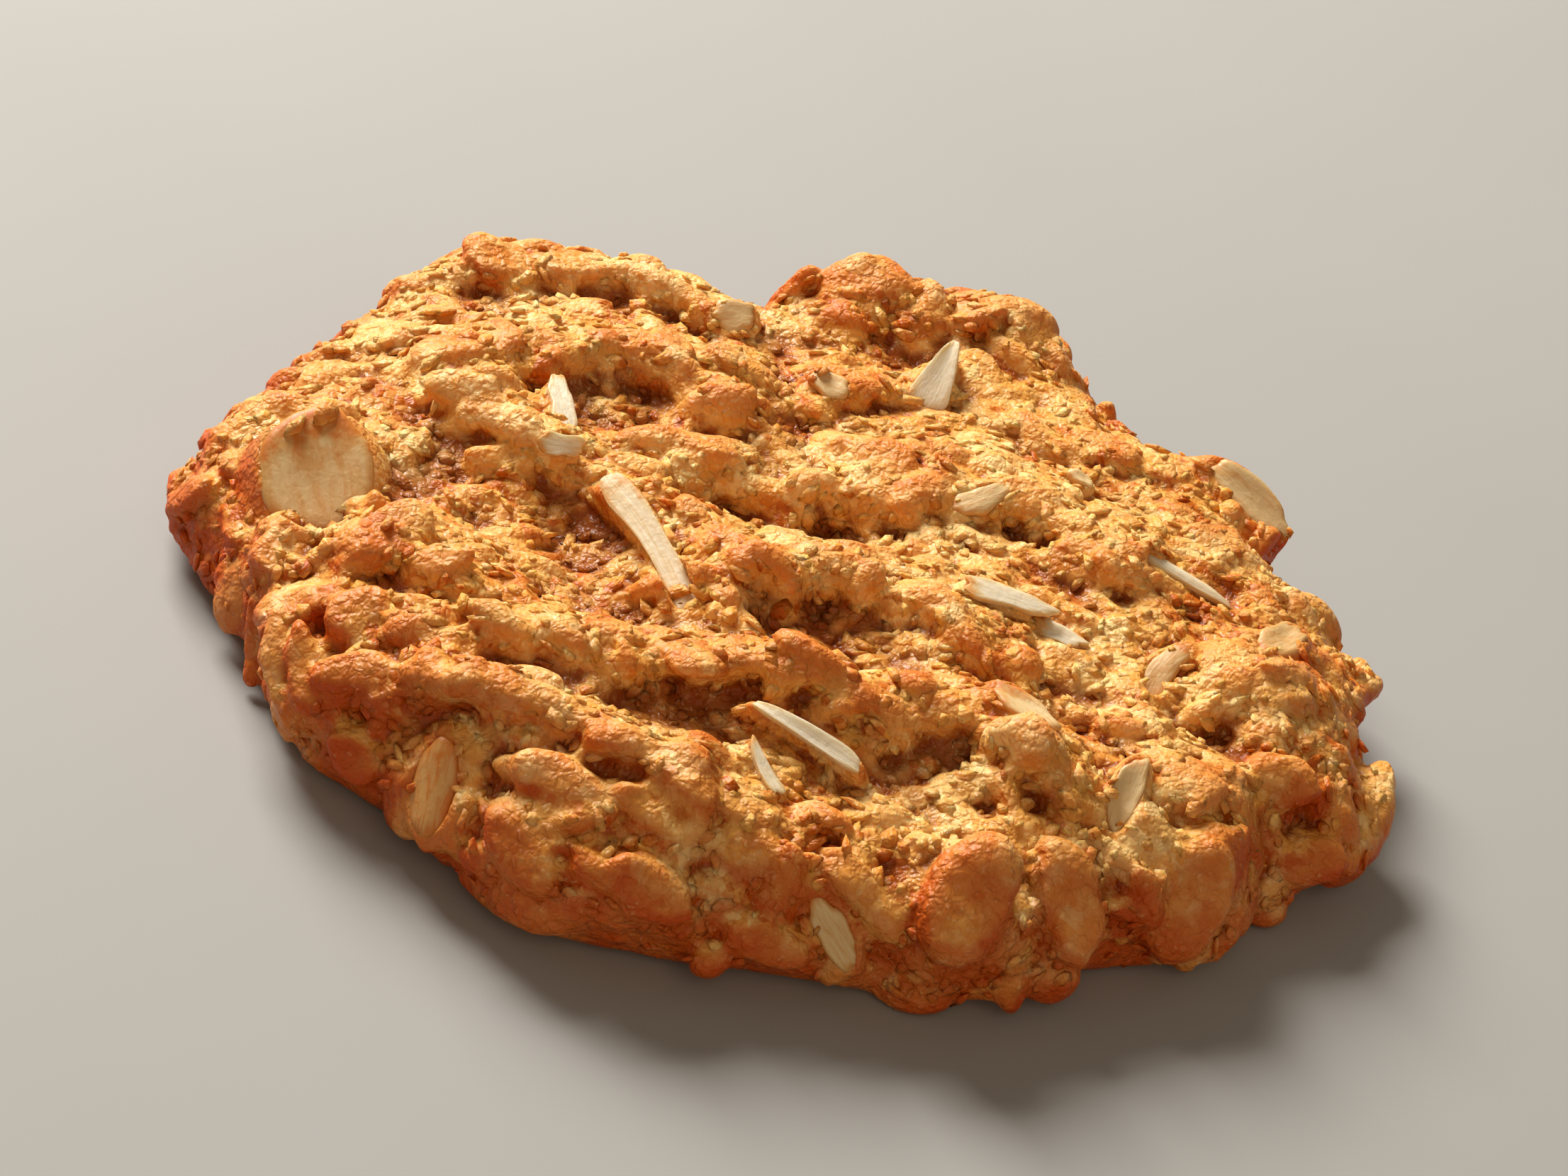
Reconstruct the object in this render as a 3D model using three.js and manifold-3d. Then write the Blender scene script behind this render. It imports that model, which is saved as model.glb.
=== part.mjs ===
// An Anzac biscuit: one baked piece with a flat underside, a lumpy rim, folds across its top, and rolled oats
// and coconut shreds that stand out of the dough. Millimetres, +Z up, -Y towards the viewer, with the origin
// at the middle of the flat underside.
import * as THREE from "three";
import { ImprovedNoise } from "three/addons/math/ImprovedNoise.js";
import { MeshSurfaceSampler } from "three/addons/math/MeshSurfaceSampler.js";
import { mergeVertices } from "three/addons/utils/BufferGeometryUtils.js";
import Module from "manifold-3d";

const { clamp, degToRad, lerp, radToDeg, seededRandom, smoothstep } = THREE.MathUtils;

// Driving dimensions
const HALF_WIDTH = 45; // middle to rim along X, before the lobes
const HALF_DEPTH = 40; // middle to rim along Y, before the lobes
const CROWN = 11.6; // height of the top at the middle, before the folds
const SHOULDER = 10.8; // height of the top where it turns into the rim
const BELLY = 4.4; // height at which the rim is widest
const UNDERSIDE = 0.93; // radius of the flat underside, as a share of the rim's
const TOP_EDGE = 0.85; // radius at which the top turns into the rim, as a share of the rim's
const RIM_SECTION = [[UNDERSIDE, 0], [0.982, 1.4], [1, BELLY], [0.955, 8.8], [TOP_EDGE, SHOULDER]];

// The body starts as a ball of near-equal triangles. Measured round it from its lowest point, the cap up to the first
// angle is pressed into the underside, the band up to the second into the rim, and the rest into the top.
const BALL_DETAIL = 13;
const UNDERSIDE_CAP = degToRad(34);
const RIM_BAND = degToRad(80);

// Where the rim runs out beyond its oval or falls short of it, by angle from +X
const LOBES = [
  { at: 14, spread: 6, reach: -2.2 },
  { at: 28, spread: 5, reach: -4.2 },
  { at: 37, spread: 4, reach: 1.4 },
  { at: 50, spread: 8, reach: -2.8 },
  { at: 74, spread: 7, reach: 6.4 },
  { at: 90, spread: 5, reach: 4.2 },
  { at: 104, spread: 8, reach: -5.0 },
  { at: 136, spread: 12, reach: 2.4 },
  { at: 147, spread: 5, reach: -2.4 },
  { at: 163, spread: 13, reach: -3.2 },
  { at: 188, spread: 7, reach: 1.8 },
  { at: 207, spread: 10, reach: -2.2 },
  { at: 238, spread: 8, reach: -2.0 },
  { at: 255, spread: 7, reach: 2.2 },
  { at: 279, spread: 10, reach: -1.2 },
  { at: 315, spread: 5, reach: -2.0 },
  { at: 337, spread: 4, reach: -1.0 },
  { at: 350, spread: 10, reach: 2.0 },
];

// Folds of dough on the top: the line that each crest follows and how far it rises
const FOLDS = [
  { crest: [[-23, -30], [-15, -30.5], [-8, -32], [-2, -34]], rise: 2.6 },
  { crest: [[-35, -18], [-28, -15], [-21, -18]], rise: 2.8 },
  { crest: [[-23, -25], [-17, -22.5], [-11, -23.5]], rise: 2.4 },
  { crest: [[-10, -23], [-4, -20], [5, -22], [13, -18], [19, -20], [21, -23]], rise: 3.0 },
  { crest: [[-6, -13], [-2, -7.5], [4, -5], [9, -6.5], [14, -10]], rise: 2.8 },
  { crest: [[-30, 8], [-25, 4], [-19, -1]], rise: 1.9 },
  { crest: [[-27, 11], [-19, 17], [-13, 17], [-7, 14]], rise: 2.5 },
  { crest: [[6, 8], [11, 13.5], [19, 11.5], [25, 6]], rise: 2.5 },
  { crest: [[-37, 18], [-31, 25], [-22, 29], [-11, 28]], rise: 1.9 },
];
const FOLD_FRONT = 2.1; // how fast a fold drops towards the viewer
const FOLD_BACK = 4.2; // how fast it drops away from the viewer
const FOLD_SAMPLES = 28;

// Round clumps that stand up from the top, and hollows with a negative rise
const CLUMPS = [
  { at: [-0.5, 38], radius: 4.6, rise: 3.8 },
  { at: [12, 39], radius: 5, rise: 4.0 },
  { at: [-9, 36], radius: 5, rise: -2.0 },
  { at: [-41, -11], radius: 5.5, rise: -2.6 },
  { at: [35, -3.5], radius: 5, rise: 1.6 },
  { at: [42, -9.5], radius: 5, rise: 0.8 },
  { at: [30, -23], radius: 6, rise: 0.8 },
  { at: [-17, -8.5], radius: 5, rise: -2.4 },
  { at: [-28, -7], radius: 3.5, rise: -1.6 },
  { at: [-2, 4.5], radius: 4.5, rise: -2.2 },
  { at: [5, 4], radius: 4, rise: -2.0 },
  { at: [-13, 9.5], radius: 3, rise: -1.6 },
  { at: [-8, -17], radius: 3.5, rise: -1.8 },
  { at: [5, -13], radius: 4, rise: -1.2 },
  { at: [23, -10.5], radius: 3, rise: -1.4 },
  { at: [32, -9.5], radius: 3, rise: -2.0 },
  { at: [25, -25], radius: 2.6, rise: -1.6 },
  { at: [7.5, -29.5], radius: 2.6, rise: -1.4 },
];

// Hollows in the side of the rim, by angle and height
const RIM_HOLLOWS = [
  { at: 340, height: 8, radius: 4, depth: 3.0 },
  { at: 322, height: 5, radius: 2.6, depth: 1.6 },
  { at: 288, height: 5, radius: 3.2, depth: 1.8 },
  { at: 256, height: 4.5, radius: 3, depth: 1.2 },
  { at: 197, height: 6, radius: 4, depth: 1.8 },
];

// Lumps all over: the longest and the finest waves of the dough's surface, and how much stronger they are on the rim
const LUMPS = [
  { wave: 9.5, rise: 0.9 },
  { wave: 5, rise: 0.6 },
];
const RIM_LUMPINESS = 2.8;
const RIM_STARTS = 0.77; // radius from which lumps push outwards, as a share of the rim's
const RIM_HEAVE = 0.4; // how much they still lift the rim, as a share of how much they lift the top

// Oats and shreds that show bare, on the top by X and Y, each with its length, width and turn about the surface
const SHOWN_ON_TOP = [
  { at: [-34.4, -7.5], length: 10.5, width: 8.2, turn: 60 },
  { at: [-9.8, -7.2], length: 15, width: 2.4, turn: -53 },
  { at: [-19.2, 4.2], length: 6, width: 2.2, turn: -65 },
  { at: [-10, 10.8], length: 7.4, width: 5.2, turn: -10 },
  { at: [-9.4, 27], length: 5, width: 3.6, turn: 0 },
  { at: [6.4, 24.6], length: 9, width: 2.6, turn: 75 },
  { at: [3, 12], length: 6.5, width: 5, turn: 25 },
  { at: [12.6, 9], length: 7, width: 4.4, turn: 62 },
  { at: [15.4, -2.2], length: 6.5, width: 3, turn: -18 },
  { at: [27.6, 6.8], length: 7.4, width: 2.4, turn: -29 },
  { at: [27.4, -5.1], length: 8.2, width: 4.2, turn: 74 },
  { at: [18.5, -13], length: 6.8, width: 5, turn: -25 },
  { at: [36.8, 4.2], length: 7, width: 5, turn: 17 },
  { at: [4.7, -26.2], length: 9.4, width: 2, turn: -27 },
  { at: [1.9, -29], length: 5.6, width: 1.8, turn: -61 },
  { at: [26.7, -19.5], length: 8.6, width: 2.4, turn: 79 },
];

// Oats that show on the rim, by angle and height
const SHOWN_ON_RIM = [
  { at: 36, height: 9.4, length: 9, width: 6.5, turn: 0 },
  { at: 241, height: 7.4, length: 8.4, width: 5.4, turn: 80 },
  { at: 285, height: 5.2, length: 9, width: 3.4, turn: 118 },
  { at: 299, height: 6, length: 10, width: 7.2, turn: 85 },
  { at: 262, height: 9, length: 9, width: 6, turn: -20 },
  { at: 327, height: 6.4, length: 8.6, width: 3.2, turn: 80 },
];

// Oats under the dough, whose outlines show as relief, laid by a rule from the largest down
const COATED_OATS = 78;
const COATED_LENGTH = [11, 7]; // of the foot of the first and the last
const OAT_SLIMNESS = [0.48, 0.68]; // width as a share of length
const OAT_SPACING = 5; // least distance between the middles of two
const OAT_LEAN = 11; // largest lean out of the surface, in degrees
const OAT_CLEARANCE = 0.8; // least height of an oat's edge above the underside
const SITE_TRIES = 4000;
const SEED = 1915;

// A bare oat has a crisp edge, and one under the dough a sloping one. Each is sunk for the most part.
const OAT_SIDES = 7;
const BARE = { thickness: 1.7, proud: 0.5, taper: 0.88 }; // taper: upper face as a share of the lower one
const COATED = { thickness: 1.9, proud: 0.8, taper: 0.5 };

const CRUST_COLOUR = 0xb87431;
const CRUST_ROUGHNESS = 0.72;

const wasm = await Module();
wasm.setup();
const noise = new ImprovedNoise();

const bell = (distance, spread) => Math.exp(-((distance / spread) ** 2));

// The angle between two directions, in degrees, from -180 to 180
const angleBetween = (a, b) => ((a - b + 540) % 360) - 180;

// Distance from the middle to the rim, at an angle in degrees from +X
function rimRadius(angle) {
  const a = degToRad(angle);
  const oval = (HALF_WIDTH * HALF_DEPTH) / Math.hypot(HALF_DEPTH * Math.cos(a), HALF_WIDTH * Math.sin(a));
  return LOBES.reduce((sum, lobe) => sum + lobe.reach * bell(angleBetween(angle, lobe.at), lobe.spread), oval);
}

// The crest of a fold as points along a smooth line
const crests = FOLDS.map(({ crest, rise }) => {
  const line = new THREE.SplineCurve(crest.map(([x, y]) => new THREE.Vector2(x, y)));
  return { points: line.getSpacedPoints(FOLD_SAMPLES), rise };
});

// How far a fold lifts the top: it drops fast in front of its crest and slowly behind it
function foldLift({ points, rise }, x, y) {
  let nearest = points[0];
  let least = Infinity;
  for (const point of points) {
    const distance = Math.hypot(x - point.x, y - point.y);
    if (distance < least) [nearest, least] = [point, distance];
  }
  return rise * bell(least, y < nearest.y ? FOLD_FRONT : FOLD_BACK);
}

// Lift of the top at a place, from its folds, clumps and hollows
function topRelief(x, y) {
  const folds = crests.map((crest) => foldLift(crest, x, y));
  const clumps = CLUMPS.map(({ at, radius, rise }) => rise * bell(Math.hypot(x - at[0], y - at[1]), radius));
  return Math.max(...folds) + clumps.reduce((sum, lift) => sum + lift, 0);
}

// Lumpiness of the dough at a point, in and out of the surface
function lumpiness(point) {
  return LUMPS.reduce(
    (sum, { wave, rise }) => sum + rise * noise.noise(point.x / wave, point.y / wave, point.z / wave),
    0,
  );
}

// The body's section: from the middle of the underside, round the rim, to the middle of the top, for a radius of 1
const underLine = new THREE.LineCurve(new THREE.Vector2(0, 0), new THREE.Vector2(UNDERSIDE, 0));
const rimCurve = new THREE.SplineCurve(RIM_SECTION.map(([share, height]) => new THREE.Vector2(share, height)));
const topLine = new THREE.LineCurve(new THREE.Vector2(TOP_EDGE, SHOULDER), new THREE.Vector2(0, CROWN));

// Radius and height on the section, for an angle up the ball from its lowest point
function sectionAt(rise) {
  if (rise <= UNDERSIDE_CAP) return underLine.getPoint(rise / UNDERSIDE_CAP);
  if (rise <= RIM_BAND) return rimCurve.getPoint((rise - UNDERSIDE_CAP) / (RIM_BAND - UNDERSIDE_CAP));
  return topLine.getPoint((rise - RIM_BAND) / (Math.PI - RIM_BAND));
}

// Moves a point of the ball to its place on the biscuit. The flat underside stays flat.
function shapePoint(point) {
  const { x: share, y: height } = sectionAt(Math.acos(clamp(-point.z, -1, 1)));
  const angle = radToDeg(Math.atan2(point.y, point.x));
  const reach = rimRadius(angle);
  point.set(Math.cos(degToRad(angle)), Math.sin(degToRad(angle)), 0).multiplyScalar(share * reach).setZ(height);
  if (height <= 0) return;
  point.z += topRelief(point.x, point.y) * smoothstep(height, BELLY, SHOULDER);
  const lump = lumpiness(point) * smoothstep(height, 0, BELLY);
  const outward = smoothstep(share, RIM_STARTS, 1);
  const dents = RIM_HOLLOWS.reduce((sum, hollow) => {
    const along = degToRad(angleBetween(angle, hollow.at)) * reach;
    return sum + hollow.depth * bell(Math.hypot(along, height - hollow.height), hollow.radius);
  }, 0);
  const push = (lump * RIM_LUMPINESS - dents) * outward;
  point.x += push * Math.cos(degToRad(angle));
  point.y += push * Math.sin(degToRad(angle));
  point.z += lump * lerp(1, RIM_HEAVE, outward);
}

// The dough without its oats
function bodyGeometry() {
  const ball = new THREE.IcosahedronGeometry(1, BALL_DETAIL);
  ball.deleteAttribute("normal");
  ball.deleteAttribute("uv");
  const body = mergeVertices(ball);
  const place = body.getAttribute("position");
  const point = new THREE.Vector3();
  for (let i = 0; i < place.count; i++) {
    shapePoint(point.fromBufferAttribute(place, i));
    place.setXYZ(i, point.x, point.y, point.z);
  }
  body.computeVertexNormals();
  return body;
}

// One oat flake, its lower face sunk below the surface it is laid on, turned and leaning about that surface
function oatGeometry({ kind, position, normal, length, width, turn, lean = 0 }) {
  const flake = new THREE.CylinderGeometry(kind.taper, 1, kind.thickness, OAT_SIDES).rotateX(Math.PI / 2);
  const spin = new THREE.Quaternion().setFromAxisAngle(new THREE.Vector3(0, 0, 1), degToRad(turn));
  const tip = new THREE.Quaternion().setFromAxisAngle(new THREE.Vector3(0, 1, 0), degToRad(lean));
  const stand = new THREE.Quaternion().setFromUnitVectors(new THREE.Vector3(0, 0, 1), normal);
  return flake
    .translate(0, 0, kind.proud - kind.thickness / 2)
    .scale(length / 2, width / 2, 1)
    .applyQuaternion(stand.multiply(spin).multiply(tip))
    .translate(...position);
}

// The least height of a geometry
function lowestPoint(geometry) {
  geometry.computeBoundingBox();
  return geometry.boundingBox.min.z;
}

// Where a straight line from outside meets the body, with the way that the surface faces there
function siteOn(body, from, towards) {
  const caster = new THREE.Raycaster(from, towards.normalize());
  const [hit] = caster.intersectObject(body);
  return { position: hit.point, normal: hit.normal.clone() };
}

// The oats and shreds that show bare
function shownOats(body) {
  const above = 100;
  const onTop = SHOWN_ON_TOP.map(({ at, ...size }) => ({
    ...siteOn(body, new THREE.Vector3(...at, above), new THREE.Vector3(0, 0, -1)),
    ...size,
  }));
  const onRim = SHOWN_ON_RIM.map(({ at, height, ...size }) => {
    const out = new THREE.Vector3(Math.cos(degToRad(at)), Math.sin(degToRad(at)), 0);
    const from = out.clone().multiplyScalar(above).setZ(height);
    return { ...siteOn(body, from, out.negate()), ...size };
  });
  return [...onTop, ...onRim].map((oat) => ({ kind: BARE, ...oat }));
}

// The oats under the dough: places drawn over the whole crust, and kept where they are clear of those before them
function coatedOats(body, laid) {
  seededRandom(SEED);
  const random = () => seededRandom();
  const sampler = new MeshSurfaceSampler(body).setRandomGenerator(random).build();
  const sites = laid.map(({ position }) => position);
  const oats = [];
  for (let tries = 0; tries < SITE_TRIES && oats.length < COATED_OATS; tries++) {
    const position = new THREE.Vector3();
    const normal = new THREE.Vector3();
    sampler.sample(position, normal);
    if (sites.some((site) => site.distanceTo(position) < OAT_SPACING)) continue;
    const length = lerp(...COATED_LENGTH, oats.length / COATED_OATS);
    const oat = {
      kind: COATED,
      position,
      normal: normal.normalize(),
      length,
      width: length * lerp(...OAT_SLIMNESS, random()),
      turn: 360 * random(),
      lean: OAT_LEAN * (2 * random() - 1),
    };
    if (lowestPoint(oatGeometry(oat)) < OAT_CLEARANCE) continue;
    oats.push(oat);
    sites.push(position);
  }
  return oats;
}

// A closed geometry as a solid that can be joined to others
function solidOf(geometry) {
  const bare = geometry.clone();
  bare.deleteAttribute("normal");
  bare.deleteAttribute("uv");
  const { attributes, index } = mergeVertices(bare);
  const mesh = new wasm.Mesh({
    numProp: 3,
    vertProperties: attributes.position.array,
    triVerts: new Uint32Array(index.array),
  });
  return new wasm.Manifold(mesh);
}

// A solid as a geometry
function geometryOf(solid) {
  const { vertProperties, triVerts } = solid.getMesh();
  const geometry = new THREE.BufferGeometry();
  geometry.setAttribute("position", new THREE.BufferAttribute(vertProperties, 3));
  geometry.setIndex(new THREE.BufferAttribute(triVerts, 1));
  geometry.computeVertexNormals();
  return geometry;
}

// The dough and its oats as one solid, without loose scraps or sealed gaps between them
function fusedBiscuit() {
  const dough = bodyGeometry();
  const body = new THREE.Mesh(dough);
  const shown = shownOats(body);
  const oats = [...shown, ...coatedOats(body, shown)];
  const fused = wasm.Manifold.union([solidOf(dough), ...oats.map((oat) => solidOf(oatGeometry(oat)))]);
  return fused.decompose().reduce((a, b) => (a.volume() > b.volume() ? a : b));
}

const crust = new THREE.MeshStandardMaterial({
  color: CRUST_COLOUR,
  roughness: CRUST_ROUGHNESS,
  metalness: 0,
});
const biscuit = new THREE.Mesh(geometryOf(fusedBiscuit()), crust);
biscuit.name = "biscuit";

const part = new THREE.Group();
part.add(biscuit);

export default part;
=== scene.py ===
"""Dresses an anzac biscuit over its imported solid.

The biscuit is baked dough with oats under its crust, crumbs that cling to it, bare oat flakes and shreds of
coconut. Its pieces are laid out in millimetres, in the solid's own frame: the underside lies on the floor and
-Y is the front.
"""
import logging
import math
import random
from collections.abc import Callable, Iterable
from dataclasses import dataclass, field, replace
from enum import Enum

import bpy
import numpy as np
from mathutils import Matrix, Vector, kdtree
from mathutils.bvhtree import BVHTree


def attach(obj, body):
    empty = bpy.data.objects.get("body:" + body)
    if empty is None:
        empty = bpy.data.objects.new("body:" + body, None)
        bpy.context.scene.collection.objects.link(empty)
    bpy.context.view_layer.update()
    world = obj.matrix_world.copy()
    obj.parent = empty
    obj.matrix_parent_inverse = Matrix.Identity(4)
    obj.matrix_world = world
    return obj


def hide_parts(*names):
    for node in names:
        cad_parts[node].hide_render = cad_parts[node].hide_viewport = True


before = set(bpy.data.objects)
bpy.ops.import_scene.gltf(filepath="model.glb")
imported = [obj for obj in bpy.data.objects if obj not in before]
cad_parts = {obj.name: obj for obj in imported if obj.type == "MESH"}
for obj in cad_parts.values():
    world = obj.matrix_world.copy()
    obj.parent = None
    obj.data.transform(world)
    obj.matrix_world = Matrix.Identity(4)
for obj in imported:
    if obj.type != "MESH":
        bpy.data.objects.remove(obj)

LOG = logging.getLogger("anzac_biscuit")
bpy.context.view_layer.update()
MM = 0.001
SEED = 1915
Piece = bpy.types.Object
Material = bpy.types.Material
Socket = bpy.types.NodeSocket
Tree = bpy.types.NodeTree
Triple = tuple[float, float, float]
Pair = tuple[float, float]
Rows = tuple[np.ndarray, np.ndarray, np.ndarray]
Sockets = dict[str | int, object]


def srgb(red: int, green: int, blue: int) -> Triple:
    """A colour as a picture holds it, 0 to 255, in the linear values that shaders take."""
    shares = (value / 255 for value in (red, green, blue))
    return tuple(share / 12.92 if share <= 0.04045 else ((share + 0.055) / 1.055) ** 2.4 for share in shares)


# Modelling steps

def select_only(piece: Piece) -> None:
    """Makes a piece the only selected object, and the active one."""
    bpy.ops.object.select_all(action="DESELECT")
    piece.select_set(True)
    bpy.context.view_layer.objects.active = piece


def select_faces(piece: Piece, wanted: Callable[[bpy.types.MeshPolygon], bool]) -> None:
    """Opens a piece in edit mode with some of its faces selected.

    Args:
        piece: the piece to edit.
        wanted: tells for a face whether it is selected.
    """
    select_only(piece)
    bpy.ops.object.mode_set(mode="EDIT")
    bpy.ops.mesh.select_mode(type="FACE")
    bpy.ops.mesh.select_all(action="DESELECT")
    bpy.ops.object.mode_set(mode="OBJECT")
    for face in piece.data.polygons:
        face.select = wanted(face)
    bpy.ops.object.mode_set(mode="EDIT")


def apply_modifier(piece: Piece, kind: str, **settings: object) -> None:
    """Adds a modifier to a piece and applies it.

    Args:
        piece: the piece to change.
        kind: the modifier's type.
        settings: the modifier's values by name.
    """
    select_only(piece)
    bpy.ops.object.modifier_add(type=kind)
    modifier = piece.modifiers[-1]
    for name, value in settings.items():
        setattr(modifier, name, value)
    bpy.ops.object.modifier_apply(modifier=modifier.name)


def points_of(piece: Piece) -> np.ndarray:
    """The places of a piece's points, in millimetres."""
    values = np.empty(len(piece.data.vertices) * 3, np.float32)
    piece.data.vertices.foreach_get("co", values)
    return values.reshape(-1, 3).astype(float) / MM


def set_points(piece: Piece, points: np.ndarray) -> None:
    """Moves a piece's points to new places, in millimetres."""
    piece.data.vertices.foreach_set("co", (points * MM).astype(np.float32).ravel())
    piece.data.update()


def normals_of(piece: Piece) -> np.ndarray:
    """The way the surface faces at each of a piece's points."""
    values = np.empty(len(piece.data.vertices) * 3, np.float32)
    piece.data.vertex_normals.foreach_get("vector", values)
    return values.reshape(-1, 3).astype(float)


def set_attribute(piece: Piece, name: str, values: np.ndarray) -> None:
    """Keeps one number for each of a piece's points, under a name that its finish reads."""
    attribute = piece.data.attributes.new(name, "FLOAT", "POINT")
    attribute.data.foreach_set("value", values.astype(np.float32))


def settle(piece: Piece) -> None:
    """Flattens what reaches under the floor."""
    points = points_of(piece)
    points[:, 2] = np.maximum(points[:, 2], 0)
    set_points(piece, points)


def attribute_of(piece: Piece, name: str) -> np.ndarray:
    """The numbers that a piece keeps for its points under a name."""
    values = np.empty(len(piece.data.vertices), np.float32)
    piece.data.attributes[name].data.foreach_get("value", values)
    return values


def hollows(piece: Piece, rounds: int) -> np.ndarray:
    """Finds how deep each point of a piece lies below its surroundings.

    Args:
        piece: the piece to measure.
        rounds: how many times the surface is evened out; more rounds take in wider surroundings.

    Returns:
        A depth in millimetres for each point, below zero on a crest.
    """
    points = points_of(piece)
    ends = np.empty(len(piece.data.edges) * 2, np.int32)
    piece.data.edges.foreach_get("vertices", ends)
    first, last = ends.reshape(-1, 2).T
    count = len(points)
    near = np.bincount(first, minlength=count) + np.bincount(last, minlength=count)
    evened = points.copy()
    for _ in range(rounds):
        for axis in range(3):
            row = evened[:, axis]
            total = np.bincount(first, row[last], count) + np.bincount(last, row[first], count)
            evened[:, axis] = (row + total) / (near + 1)
    return ((evened - points) * normals_of(piece)).sum(axis=1)


def tree_of(points: np.ndarray) -> kdtree.KDTree:
    """A tree that finds which of some points lie near a place."""
    tree = kdtree.KDTree(len(points))
    for index, point in enumerate(points):
        tree.insert(point, index)
    tree.balance()
    return tree


def smooth_step(values: np.ndarray, start: float, end: float) -> np.ndarray:
    """Rises smoothly from 0 at start to 1 at end."""
    share = np.clip((values - start) / (end - start), 0, 1)
    return share * share * (3 - 2 * share)


def joined(name: str, pieces: Iterable[Piece]) -> Piece:
    """Joins pieces in one.

    Args:
        name: the joined piece's name.
        pieces: the pieces, which overlap or lie apart.

    Returns:
        The joined piece.
    """
    bpy.ops.object.select_all(action="DESELECT")
    for piece in pieces:
        piece.select_set(True)
        bpy.context.view_layer.objects.active = piece
    bpy.ops.object.join()
    whole = bpy.context.object
    whole.name = name
    whole.data.name = name
    return whole


# The camera, which also tells where a place in its frame lies

@dataclass(frozen=True)
class PhotoCamera:
    """A camera that sees the biscuit as the photo does: from the front, above it, and rolled a little.

    Places in its frame are given on a grid of 1024 by 768 squares, from the upper left corner.
    """
    target: Triple = (0.0, 0.0, 6.5)
    elevation: float = 35.0
    roll: float = 15.4
    distance: float = 321.2
    frame_width: float = 118.0
    sensor: float = 36.0
    nearest: float = 10.0
    grid: Pair = (1024, 768)

    def axes(self) -> tuple[Vector, Vector, Vector]:
        """The frame's right and up, and the way back to the camera."""
        raised = math.radians(self.elevation)
        rolled = math.radians(self.roll)
        across = Vector((1, 0, 0))
        upright = Vector((0, math.sin(raised), math.cos(raised)))
        right = across * math.cos(rolled) + upright * math.sin(rolled)
        up = upright * math.cos(rolled) - across * math.sin(rolled)
        return right, up, Vector((0, -math.cos(raised), math.sin(raised)))

    def eye(self) -> Vector:
        """Where the camera stands, in millimetres."""
        return Vector(self.target) + self.axes()[2] * self.distance

    def line(self, square: Pair) -> Vector:
        """The way from the camera through a place in its frame."""
        right, up, back = self.axes()
        size = self.frame_width / self.grid[0]
        across = (square[0] - self.grid[0] / 2) * size
        over = (self.grid[1] / 2 - square[1]) * size
        return (right * across + up * over - back * self.distance).normalized()

    def build(self) -> None:
        """Makes the camera and gives it to the scene."""
        data = bpy.data.cameras.new("photo_camera")
        data.sensor_width = self.sensor
        data.lens = self.sensor * self.distance / self.frame_width
        data.clip_start = self.nearest * MM
        camera = bpy.data.objects.new("photo_camera", data)
        turned = Matrix(self.axes()).transposed().to_4x4()
        camera.matrix_world = Matrix.Translation(self.eye() * MM) @ turned
        bpy.context.collection.objects.link(camera)
        bpy.context.scene.camera = camera


CAMERA = PhotoCamera()


# What lies on the dough

class Kind(Enum):
    """What lies on the dough: a lump of it, an oat under the crust, a bare oat, or coconut."""
    LUMP = "lump"
    COATED = "coated oat"
    OAT = "bare oat"
    COCONUT = "coconut"


@dataclass(frozen=True)
class Site:
    """A place on the dough, in millimetres, the way the surface faces there, and a way along the surface."""
    place: np.ndarray
    facing: np.ndarray
    along: np.ndarray


@dataclass(frozen=True)
class Lie:
    """How a copy of a mould is shaped and lies at its site: lengths in millimetres, angles in degrees."""
    width: float
    thickness: float = 0.7
    length: float = 0.0
    turn: float = 0.0
    lean: float = 0.0
    tip: float = 0.0
    proud: float = 0.2
    droop: float = 0.0
    cup: float = 0.0
    taper: float = 0.0
    waist: float = 0.0
    bend: float = 0.0
    ragged: float = 0.06
    wrinkle: float = 0.05
    # tint shifts a copy's colour, browner above zero and paler below; on two shown flakes it also stands for
    # painted shade
    tint: float = 0.0
    smear: float = 0.2
    cover: float = 0.0


@dataclass(frozen=True)
class Shown:
    """One thing that shows plainly: its ends in the camera's frame, and how far it turns to the camera."""
    start: Pair
    end: Pair
    toward: float
    lie: Lie


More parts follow.
